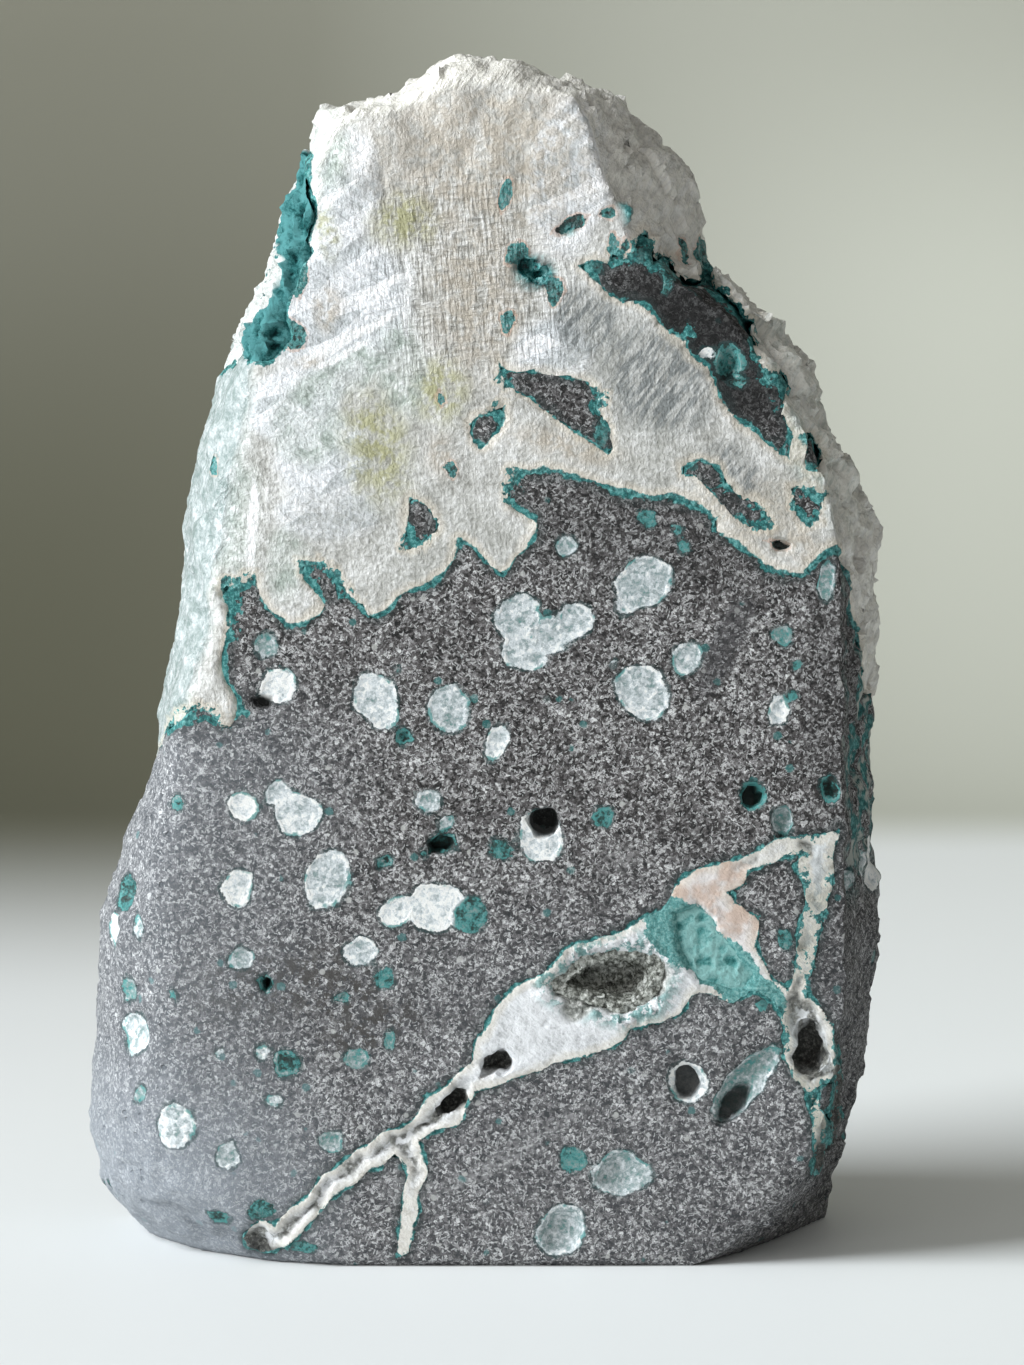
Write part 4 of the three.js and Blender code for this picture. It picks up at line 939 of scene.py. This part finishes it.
def make_basalt():
    made, tree, shader = material("sawn_basalt")
    place = millimetres(tree)
    warp = put(tree, "ShaderNodeTexNoise", {"Vector": place, "Scale": 2.6, "Detail": 3.0}).outputs["Color"]
    bent = put(tree, "ShaderNodeVectorMath", {0: warp, 1: (0.4,) * 3, 2: place},
               operation="MULTIPLY_ADD").outputs[0]
    cells = put(tree, "ShaderNodeTexVoronoi", {"Vector": bent, "Scale": 1 / 0.27}).outputs["Color"]
    grain = put(tree, "ShaderNodeSeparateColor", {0: cells}).outputs[0]
    fine = noise(tree, place, 0.14, 2.0, 0.8)
    large_cells = put(tree, "ShaderNodeTexVoronoi", {"Vector": bent, "Scale": 1 / 0.55}).outputs["Color"]
    large_grain = put(tree, "ShaderNodeSeparateColor", {0: large_cells}).outputs[1]
    level = scaled(tree, grain, 0.38, times(tree, fine, 0.6))
    level = scaled(tree, large_grain, 0.16, level)
    level = scaled(tree, maths(tree, "SUBTRACT", noise(tree, place, 6.0, 4.0), 0.5), 0.26, level)
    level = scaled(tree, maths(tree, "SUBTRACT", noise(tree, place, 1.2, 3.0), 0.5), 0.3, level)
    stone = ramp(tree, level, [(0.32, grey(0.008)), (0.44, (0.034, 0.030, 0.029)),
                               (0.6, (0.125, 0.117, 0.117)),
                               (0.73, (0.27, 0.262, 0.264)), (0.84, (0.80, 0.80, 0.80))])
    for degrees in LATH_TURNS:
        lath = use(tree, LONG, Place=bent, Turn=math.radians(degrees), Length=0.6, Width=0.17)
        share = times(tree, lath["Middle"], between(tree, lath["Tone"], 0.84, 0.88, 0.0, 0.85))
        stone = mixed(tree, share, stone, (0.56, 0.56, 0.56, 1))
    bits = put(tree, "ShaderNodeTexVoronoi", {"Vector": bent, "Scale": 1 / 1.2})
    kind = put(tree, "ShaderNodeSeparateColor", {0: bits.outputs["Color"]})
    small = between(tree, bits.outputs["Distance"], 0.3, 0.2)
    pore = times(tree, small, between(tree, kind.outputs[1], 0.84, 0.86))
    white_bit = times(tree, small, between(tree, kind.outputs[2], 0.93, 0.94))
    green = times(tree, between(tree, bits.outputs["Distance"], 0.42, 0.3),
                  between(tree, kind.outputs[0], 0.965, 0.97))
    rust = times(tree, between(tree, noise(tree, place, 1.7, 4.0, 0.75), 0.5, 0.54), stored(tree, "rusty"))
    stone = mixed(tree, times(tree, rust, 0.95), stone, (0.032, 0.022, 0.011, 1))
    stone = mixed(tree, times(tree, white_bit, 0.8), stone, (0.55, 0.55, 0.53, 1))
    stone = mixed(tree, times(tree, green, 0.75), stone, (*MID_TEAL, 1))
    stone = mixed(tree, times(tree, pore, 0.9), stone, (0.012, 0.012, 0.013, 1))
    scratch = times(tree, stored(tree, "scratched"),
                    between(tree, noise(tree, place, 0.5, 4.0), 0.35, 0.65))
    stone = mixed(tree, times(tree, scratch, 0.42), stone, (0.5, 0.49, 0.49, 1))
    stone = mixed(tree, times(tree, stored(tree, "smeared"), 0.5), stone, (0.05, 0.05, 0.055, 1))
    # Painted sheen: the ground side and the lower face are tinted paler and bluish.
    stone = mixed(tree, times(tree, stored(tree, "ground"), 0.3), stone, (0.38, 0.42, 0.47, 1))
    # Darkens the wedge, and paints shade on the right wall and near the crown.
    shade = between(tree, stored(tree, "dark"), 0.0, 1.0, 1.0, 0.1)
    dimmed = put(tree, "ShaderNodeCombineColor", {0: shade, 1: shade, 2: shade}).outputs[0]
    stone = put(tree, "ShaderNodeMix", {0: 1.0, 6: stone, 7: dimmed}, data_type="RGBA",
                blend_type="MULTIPLY").outputs[2]
    wall = times(tree, stored(tree, "wall"), between(tree, noise(tree, place, 3.4, 4.0, 0.6), 0.46, 0.54))
    pale_wall = times(tree, wall, between(tree, noise(tree, place, 2.0, 4.0), 0.5, 0.6))
    rim = use(tree, RIM, Place=place, Distance=stored(tree, "seam"), Width=0.3, Raggedness=0.3,
              Thick=stored(tree, "thick"))
    fill = use(tree, FILLING, Place=place, Distance=stored(tree, "filling"), Tone=stored(tree, "tone"))
    stone = mixed(tree, wall, stone, rim["Colour"])
    stone = mixed(tree, pale_wall, stone, (0.5, 0.5, 0.46, 1))
    stone = mixed(tree, times(tree, fill["Rim"], 0.65), stone, (0.018, 0.06, 0.06, 1))
    stone = mixed(tree, fill["Mask"], stone, fill["Colour"])
    # Painted shade: the small holes and the big pit are painted nearly black.
    stone = mixed(tree, times(tree, stored(tree, "pit"), 0.92), stone, (0.012, 0.013, 0.012, 1))
    stone = mixed(tree, times(tree, rim["Bloom"], 0.5), stone, (0.02, 0.035, 0.035, 1))
    stone = mixed(tree, rim["Mask"], stone, rim["Colour"])
    tree.links.new(stone, shader.inputs["Base Color"])
    covered = maths(tree, "MAXIMUM", fill["Mask"], rim["Mask"])
    gloss = maths(tree, "MAXIMUM", fill["Mask"], stored(tree, "ground"))
    tree.links.new(between(tree, gloss, 0.0, 1.0, 0.75, 0.5), shader.inputs["Roughness"])
    bare = maths(tree, "SUBTRACT", 1.0, times(tree, covered, 0.7))
    roughness = scaled(tree, grain, 0.5, fine)
    height = times(tree, maths(tree, "SUBTRACT", roughness, pore), bare)
    height = scaled(tree, fill["Height"], 0.4, height)
    tree.links.new(bumped(tree, height, 0.2), shader.inputs["Normal"])
    shader.inputs["Specular IOR Level"].default_value = 0.35
    return made


finish_with(basalt, make_basalt())
print("basalt finished")

# %% [markdown]
# ## Apophyllite crown
# Sawn apophyllite is milky and fibrous on the face, and glassy where it broke. Light travels a little
# way into it, so it has some subsurface scattering and a gloss. The sawn face carries the saw's
# lattice, the cleavage plates show as slanting streaks, and each zone mixes its own colour over the
# milky ground. On the broken sides pale striations are partly painted light, and the teal crust in
# the pits carries painted shade.

# %% Crown material
def make_crown():
    made, tree, shader = material("milky_apophyllite")
    place = millimetres(tree)
    depth = stored(tree, "depth")
    down = use(tree, SAW, Place=place, Depth=depth, Spacing=0.42, Turn=math.radians(4))
    over = use(tree, SAW, Place=place, Depth=depth, Spacing=0.42, Turn=math.radians(94))
    slant = use(tree, SAW, Place=place, Depth=depth, Spacing=0.6, Turn=math.radians(62))
    steep = use(tree, SAW, Place=place, Depth=depth, Spacing=0.5, Turn=math.radians(-35))
    plate = use(tree, LONG, Place=place, Turn=math.radians(28), Length=6.0, Width=1.3)
    cloud = noise(tree, place, 4.0, 3.0, 0.6)
    crumb = noise(tree, place, 0.5, 3.0, 0.7)
    veil = noise(tree, place, 1.5, 4.0, 0.65)
    level = scaled(tree, cloud, 0.4, times(tree, crumb, 0.3))
    level = scaled(tree, veil, 0.3, level)
    lattice = times(tree, maths(tree, "SUBTRACT", maths(tree, "ADD", down["Height"], over["Height"]), 1.0),
                    down["Face"])
    share = scaled(tree, stored(tree, "lattice"), 0.5, 0.14)
    level = scaled(tree, lattice, share, level)
    white = ramp(tree, level, [(0.36, (0.30, 0.292, 0.268)), (0.47, (0.52, 0.513, 0.487)),
                               (0.6, (0.78, 0.775, 0.76))])
    plates = scaled(tree, plate["Tone"], 0.35, times(tree, slant["Height"], 0.6))
    cool_white = ramp(tree, scaled(tree, veil, 0.25, plates),
                      [(0.38, (0.44, 0.47, 0.485)), (0.6, (0.75, 0.77, 0.80)), (0.8, (0.97, 0.97, 0.99))])
    white = mixed(tree, times(tree, stored(tree, "cool"), 0.85), white, cool_white)
    glass = ramp(tree, scaled(tree, crumb, 0.4, times(tree, veil, 0.6)),
                 [(0.4, (0.26, 0.31, 0.27)), (0.5, (0.44, 0.50, 0.455)), (0.6, (0.72, 0.76, 0.74))])
    clear = times(tree, stored(tree, "clear"), between(tree, cloud, 0.36, 0.6, 0.95, 0.4))
    white = mixed(tree, clear, white, glass)
    warm = times(tree, stored(tree, "warm"), between(tree, veil, 0.36, 0.6, 0.15, 0.8))
    white = mixed(tree, warm, white, (0.455, 0.395, 0.318, 1))
    grey_share = times(tree, stored(tree, "shaded"), between(tree, crumb, 0.36, 0.6, 0.6, 0.25))
    white = mixed(tree, grey_share, white, (0.36, 0.36, 0.33, 1))
    olive = times(tree, stored(tree, "olive"), between(tree, veil, 0.38, 0.58, 0.15, 0.9))
    white = mixed(tree, olive, white, (0.38, 0.37, 0.19, 1))
    stripes = times(tree, stored(tree, "striped"), between(tree, steep["Height"], 0.42, 0.58, 0.9, 0.3))
    white = mixed(tree, stripes, white, (0.17, 0.185, 0.185, 1))
    off_face = maths(tree, "SUBTRACT", 1.0, down["Face"])
    # Pale steep striations on the broken sides, partly painted light that brightens the facets turned away
    # from the window.
    striations_and_painted_light = times(tree, off_face, between(tree, steep["Height"], 0.38, 0.6, 0.35, 0.9))
    white = mixed(tree, striations_and_painted_light, white, (0.80, 0.775, 0.71, 1))
    side = times(tree, stored(tree, "glassy"), between(tree, depth, -0.02, 0.7))
    side_glass = ramp(tree, scaled(tree, crumb, 0.4, times(tree, veil, 0.6)),
                      [(0.4, (0.20, 0.255, 0.245)), (0.5, (0.33, 0.375, 0.37)), (0.62, (0.54, 0.57, 0.58))])
    white = mixed(tree, side, white, side_glass)
    white = mixed(tree, between(tree, stored(tree, "cleaved"), 0.3, 0.8, 0.0, 0.8), white,
                  (0.95, 0.95, 0.95, 1))
    rim = use(tree, RIM, Place=place, Distance=stored(tree, "seam"), Width=0.12, Raggedness=0.3,
              Thick=times(tree, stored(tree, "thick"), 0.5))
    crust = use(tree, RIM, Place=place, Distance=stored(tree, "shoulder_seam"), Width=0.3, Raggedness=0.9)
    fleck = use(tree, FILLING, Place=place, Distance=stored(tree, "filling"), Tone=stored(tree, "tone"))
    white = mixed(tree, times(tree, rim["Bloom"], 0.45), white, (0.70, 0.61, 0.48, 1))
    white = mixed(tree, times(tree, fleck["Rim"], 0.5), white, (0.62, 0.40, 0.30, 1))
    white = mixed(tree, fleck["Mask"], white, fleck["Colour"])
    # The pits get a teal crust whose darkest parts are painted shade.
    pit_tone = scaled(tree, crumb, 0.4, times(tree, veil, 0.6))
    pit_colour = ramp(tree, pit_tone, [(0.42, (0.006, 0.03, 0.032)), (0.5, (0.02, 0.17, 0.17)),
                      (0.58, (0.16, 0.42, 0.42))])
    white = mixed(tree, stored(tree, "pit"), white, pit_colour)
    white = mixed(tree, crust["Mask"], white, crust["Colour"])
    white = mixed(tree, rim["Mask"], white, rim["Colour"])
    tree.links.new(white, shader.inputs["Base Color"])
    tree.links.new(between(tree, down["Face"], 0.0, 1.0, 0.25, 0.5), shader.inputs["Roughness"])
    height = scaled(tree, lattice, scaled(tree, stored(tree, "lattice"), 0.8, 0.3),
                   times(tree, crumb, 0.7))
    height = scaled(tree, veil, 0.6, height)
    height = scaled(tree, slant["Height"], times(tree, stored(tree, "cool"), 0.9), height)
    height = scaled(tree, steep["Height"], off_face, height)
    tree.links.new(bumped(tree, height, 0.36), shader.inputs["Normal"])
    shader.inputs["Subsurface Weight"].default_value = 0.12
    shader.inputs["Subsurface Radius"].default_value = (1.0, 1.0, 0.9)
    shader.inputs["Subsurface Scale"].default_value = 2.0 * MM
    return made


finish_with(crown, make_crown())
print("crown finished")

# %% [markdown]
# ## Vein and druse
# The vein is the same kind of white mineral, finer and greyer, with a peach stain on the right. Its
# strands are hollow along the middle, and painted shade darkens the hollow, so they read as two pale
# rails. Where the vein lies deeper behind the face, painted shade makes it nearly black. Around the
# vug it is crumbly and stained green. The vug's crystals are clear, so they get transmission and a gloss.

# %% Vein and druse materials
def make_vein():
    made, tree, shader = material("fibrous_zeolite")
    place = millimetres(tree)
    saw = use(tree, SAW, Place=place, Depth=stored(tree, "depth"), Spacing=0.3, Turn=math.radians(50))
    crumb = noise(tree, place, 0.4, 5.0, 0.75)
    cloud = noise(tree, place, 2.4, 4.0)
    level = scaled(tree, cloud, 0.35, times(tree, crumb, 0.4))
    level = scaled(tree, saw["Height"], 0.25, level)
    white = ramp(tree, level, [(0.36, (0.40, 0.41, 0.42)), (0.48, (0.78, 0.79, 0.81)),
                               (0.6, (0.97, 0.98, 1.0))])
    greyed = times(tree, stored(tree, "greyed"), between(tree, cloud, 0.35, 0.6, 0.9, 0.45))
    white = mixed(tree, greyed, white, (0.27, 0.30, 0.285, 1))
    rim = use(tree, RIM, Place=place, Distance=stored(tree, "seam"), Width=0.14, Raggedness=0.4,
              Thick=times(tree, stored(tree, "greyed"), 0.4))
    white = mixed(tree, times(tree, rim["Bloom"], 0.5), white, (0.70, 0.63, 0.50, 1))
    border = scaled(tree, maths(tree, "SUBTRACT", crumb, 0.5), 0.7, stored(tree, "peach"))
    peach = times(tree, between(tree, border, 0.42, 0.56), between(tree, cloud, 0.4, 0.6, 0.8, 0.3))
    white = mixed(tree, peach, white, (0.62, 0.44, 0.34, 1))
    # Painted shade in the hollow middle of the strands.
    painted_hollow_shade = ramp(tree, crumb, [(0.36, (0.03, 0.029, 0.026)), (0.5, (0.17, 0.17, 0.15)),
                                     (0.66, (0.42, 0.42, 0.38))])
    broken_hollow = times(tree, stored(tree, "hollow"),
                          between(tree, noise(tree, place, 1.1, 3.0), 0.4, 0.52))
    white = mixed(tree, times(tree, broken_hollow, 0.9), white, painted_hollow_shade)
    lining_tone = ramp(tree, noise(tree, place, 0.7, 4.0, 0.7), [(0.38, (0.10, 0.105, 0.09)),
                                                                 (0.5, (0.34, 0.35, 0.32)),
                       (0.62, (0.78, 0.78, 0.75))])
    # Painted shade: where the vein lies deeper behind the face, away from the vug and the pocket, it is
    # painted nearly black.
    pit_tone = ramp(tree, crumb, [(0.36, (0.008, 0.008, 0.008)), (0.52, (0.05, 0.05, 0.045)),
                                  (0.66, (0.25, 0.25, 0.23))])
    white = mixed(tree, stored(tree, "pit"), white, pit_tone)
    blotch = noise(tree, place, 0.9, 4.0, 0.65)
    outside = maths(tree, "SUBTRACT", stored(tree, "crust"), times(tree, stored(tree, "lining"), 0.8))
    stain = times(tree, outside, between(tree, blotch, 0.46, 0.54))
    teal = ramp(tree, crumb, [(0.36, (0.03, 0.15, 0.145)), (0.5, (0.10, 0.32, 0.31)),
                              (0.64, (0.30, 0.52, 0.50))])
    white = mixed(tree, times(tree, stain, 0.85), white, teal)
    white = mixed(tree, times(tree, stored(tree, "lining"), 0.9), white, lining_tone)
    shore = scaled(tree, maths(tree, "SUBTRACT", blotch, 0.5), 1.2, stored(tree, "turquoise"))
    blue = between(tree, shore, 0.45, 0.53)
    white = mixed(tree, blue, white, teal)
    white = mixed(tree, rim["Mask"], white, rim["Colour"])
    tree.links.new(white, shader.inputs["Base Color"])
    height = scaled(tree, saw["Height"], 0.6, crumb)
    height = scaled(tree, blotch, times(tree, stored(tree, "crust"), 1.5), height)
    tree.links.new(bumped(tree, height, 0.24), shader.inputs["Normal"])
    shader.inputs["Roughness"].default_value = 0.5
    return made


def make_druse():
    made, tree, shader = material("clear_druse")
    place = millimetres(tree)
    tone = noise(tree, place, 0.5, 4.0, 0.7)
    colours = [(0.4, (0.06, 0.062, 0.052)), (0.5, (0.27, 0.28, 0.25)), (0.62, (0.66, 0.67, 0.63))]
    tree.links.new(ramp(tree, tone, colours), shader.inputs["Base Color"])
    tree.links.new(bumped(tree, noise(tree, place, 0.3, 3.0), 0.1), shader.inputs["Normal"])
    shader.inputs["Roughness"].default_value = 0.25
    shader.inputs["Transmission Weight"].default_value = 0.15
    shader.inputs["IOR"].default_value = 1.53
    return made


finish_with(vein, make_vein())
finish_with(druse, make_druse())
print("vein and druse finished")

# %% [markdown]
# ## Celadonite lumps
# Where celadonite had room it grew in earthy knobs. They are dull, with painted shade in the creases
# and painted light on the knobs. The pocket in the vein is a lighter turquoise than the crust on the
# shoulder, which has a skin of white apophyllite left on its outer side.

# %% Celadonite material
def make_celadonite(name, painted_crease_shade, body, painted_knob_light):
    made, tree, shader = material(name)
    place = millimetres(tree)
    crumb = noise(tree, place, 0.35, 5.0, 0.75)
    cloud = noise(tree, place, 1.3, 4.0, 0.65)
    # Painted shade in the creases and painted light on the knobs: the colour follows the same knobs as the
    # relief.
    level = scaled(tree, stored(tree, "knobs"), 0.2, times(tree, crumb, 0.6))
    level = scaled(tree, cloud, 0.5, level)
    earth = ramp(tree, level, [(0.42, painted_crease_shade), (0.55, body), (0.70, painted_knob_light)])
    white = ramp(tree, crumb, [(0.36, (0.42, 0.44, 0.42)), (0.6, (0.80, 0.81, 0.79))])
    skin = times(tree, stored(tree, "outer"), between(tree, cloud, 0.34, 0.4))
    tree.links.new(mixed(tree, skin, earth, white), shader.inputs["Base Color"])
    tree.links.new(bumped(tree, maths(tree, "ADD", crumb, cloud), 0.35), shader.inputs["Normal"])
    shader.inputs["Roughness"].default_value = 0.95
    shader.inputs["Specular IOR Level"].default_value = 0.15
    return made


# Each is the painted crease shade, the body colour and the painted knob light.
POCKET_TEALS = ((0.03, 0.16, 0.155), (0.12, 0.36, 0.35), (0.32, 0.60, 0.58))
SHOULDER_TEALS = ((0.003, 0.024, 0.026), (0.018, 0.115, 0.115), (0.09, 0.28, 0.285))
finish_with(pocket, make_celadonite("turquoise_celadonite", *POCKET_TEALS))
finish_with(shoulder, make_celadonite("deep_celadonite", *SHOULDER_TEALS))
print("celadonite finished")

# %% [markdown]
# ## Table, backdrop and light
# The specimen stands on a pale table with a soft grey wall behind it. Light and shade are painted on
# both: the wall is darker on the left and lighter up and to the right, and the table is darker on the
# left and near the front, with a painted reflection of the dark wall where it turns up. The wall can
# be looked through from its back, so that it never hides the back of the stone. The light is a large
# soft window on the left, with a weak fill from the front, so the right wall of the stone falls into
# shade.

# %% Table and backdrop
TABLE_BACK = 342.0  # mm behind the face where the table turns up into the wall
TABLE_SIDE = 1500.0
WALL_TOP = 1400.0
SWEEP_RADIUS = 120.0


def make_sweep():
    """Table and wall in one sheet, with a round bend between them."""
    profile = [(-1500.0, 0.0), (TABLE_BACK, 0.0)]
    for step in range(1, 13):
        angle = math.radians(90 * step / 12)
        profile.append((TABLE_BACK + SWEEP_RADIUS * math.sin(angle), SWEEP_RADIUS * (1 - math.cos(angle))))
    profile.append((TABLE_BACK + SWEEP_RADIUS, WALL_TOP))
    corners = [(side * TABLE_SIDE * MM, y * MM, z * MM) for y, z in profile for side in (-1, 1)]
    faces = [(2 * i, 2 * i + 1, 2 * i + 3, 2 * i + 2) for i in range(len(profile) - 1)]
    mesh = bpy.data.meshes.new("sweep")
    mesh.from_pydata(corners, [], faces)
    mesh.shade_smooth()
    sheet = bpy.data.objects.new("sweep", mesh)
    bpy.context.scene.collection.objects.link(sheet)
    made, tree, shader = material("pale_table")
    place = put(tree, "ShaderNodeSeparateXYZ", {0: millimetres(tree)})
    across, back, up = place.outputs
    side = between(tree, across, -95, 95)
    # Painted shade and light on the wall: darker on the left, lighter higher up and towards the right.
    wall = ramp(tree, side, [(0.0, (0.108, 0.106, 0.072)), (0.25, (0.145, 0.142, 0.103)),
                             (0.6, (0.365, 0.366, 0.312)), (1.0, (0.64, 0.65, 0.57))])
    lighter = times(tree, between(tree, up, 20, 200), maths(tree, "SUBTRACT", 1.0, side))
    wall = mixed(tree, times(tree, lighter, 0.55), wall, (0.33, 0.318, 0.255, 1))
    high_right = times(tree, between(tree, up, 70, 135), times(tree, side, 0.7))
    wall = mixed(tree, high_right, wall, (0.40, 0.40, 0.34, 1))
    # The table is painted darker on the left and near the front, and it turns into the wall colour sooner on
    # the left, as a painted reflection of the dark wall.
    start = between(tree, across, -60, 60, 138, 285)
    turn = put(tree, "ShaderNodeMapRange", {0: back, 1: start, 2: TABLE_BACK, 3: 0.0, 4: 1.0},
               interpolation_type="SMOOTHSTEP").outputs[0]
    near = mixed(tree, between(tree, across, -90, 90), (0.62, 0.63, 0.63, 1), (0.80, 0.82, 0.82, 1))
    far = mixed(tree, between(tree, across, -90, 90), (0.69, 0.70, 0.70, 1), (0.95, 0.97, 0.97, 1))
    top = mixed(tree, between(tree, back, -110, 110), near, far)
    tree.links.new(mixed(tree, turn, top, wall), shader.inputs["Base Color"])
    shader.inputs["Roughness"].default_value = 0.6
    behind = put(tree, "ShaderNodeNewGeometry").outputs["Backfacing"]
    tree.links.new(maths(tree, "SUBTRACT", 1.0, behind), shader.inputs["Alpha"])
    mesh.materials.append(made)
    return sheet


make_sweep()
print("table and wall are in place")

# %% Lights
def softbox(name, spot, aim, width, height, power, colour):
    """A soft rectangular light at a spot in mm, turned to an aim."""
    data = bpy.data.lights.new(name, "AREA")
    data.shape = "RECTANGLE"
    data.size = width * MM
    data.size_y = height * MM
    data.energy = power
    data.color = colour
    lamp = bpy.data.objects.new(name, data)
    lamp.location = Vector(spot) * MM
    lamp.rotation_euler = (Vector(aim) - Vector(spot)).to_track_quat("-Z", "Y").to_euler()
    bpy.context.scene.collection.objects.link(lamp)
    return lamp


softbox("window", (-510, -190, 350), (0, 0, 60), 400, 400, 7.6, (0.93, 0.975, 1.0))
softbox("front_fill", (-300, -850, 450), (0, 0, 60), 700, 500, 1.2, (1.0, 0.99, 0.96))
world = bpy.data.worlds.new("room")
world.use_nodes = True
world.node_tree.nodes["Background"].inputs["Color"].default_value = (1.0, 0.99, 0.96, 1)
world.node_tree.nodes["Background"].inputs["Strength"].default_value = 0.22
bpy.context.scene.world = world
bpy.context.scene.view_settings.view_transform = "Standard"

# %% [markdown]
# ## Camera
# The picture was taken from a little above, with a long lens, square to the sawn face. The lens is
# worked out from the scale on the face: about ten picture columns to the millimetre.

# %% Camera at the picture's angle
PICTURE_HEIGHT = 1365  # rows
ROWS_PER_MM = 10.12
EYE_DISTANCE = 600.0  # mm in front of the face
EYE_TILT = math.radians(6)
AIM = (2.3, 58.65)  # mm right and up on the face, in the middle of the picture
SENSOR = 36.0  # mm, along the picture's longer side

camera_data = bpy.data.cameras.new("camera")
camera_data.sensor_width = SENSOR
camera_data.lens = SENSOR * ROWS_PER_MM * EYE_DISTANCE / math.cos(EYE_TILT) / PICTURE_HEIGHT
camera = bpy.data.objects.new("camera", camera_data)
camera.location = Vector((AIM[0], FACE_Y - EYE_DISTANCE, AIM[1] + EYE_DISTANCE * math.tan(EYE_TILT))) * MM
camera.rotation_euler = (math.pi / 2 - EYE_TILT, 0, 0)
bpy.context.scene.collection.objects.link(camera)
bpy.context.scene.camera = camera
print("lens:", round(camera_data.lens, 1), "mm")
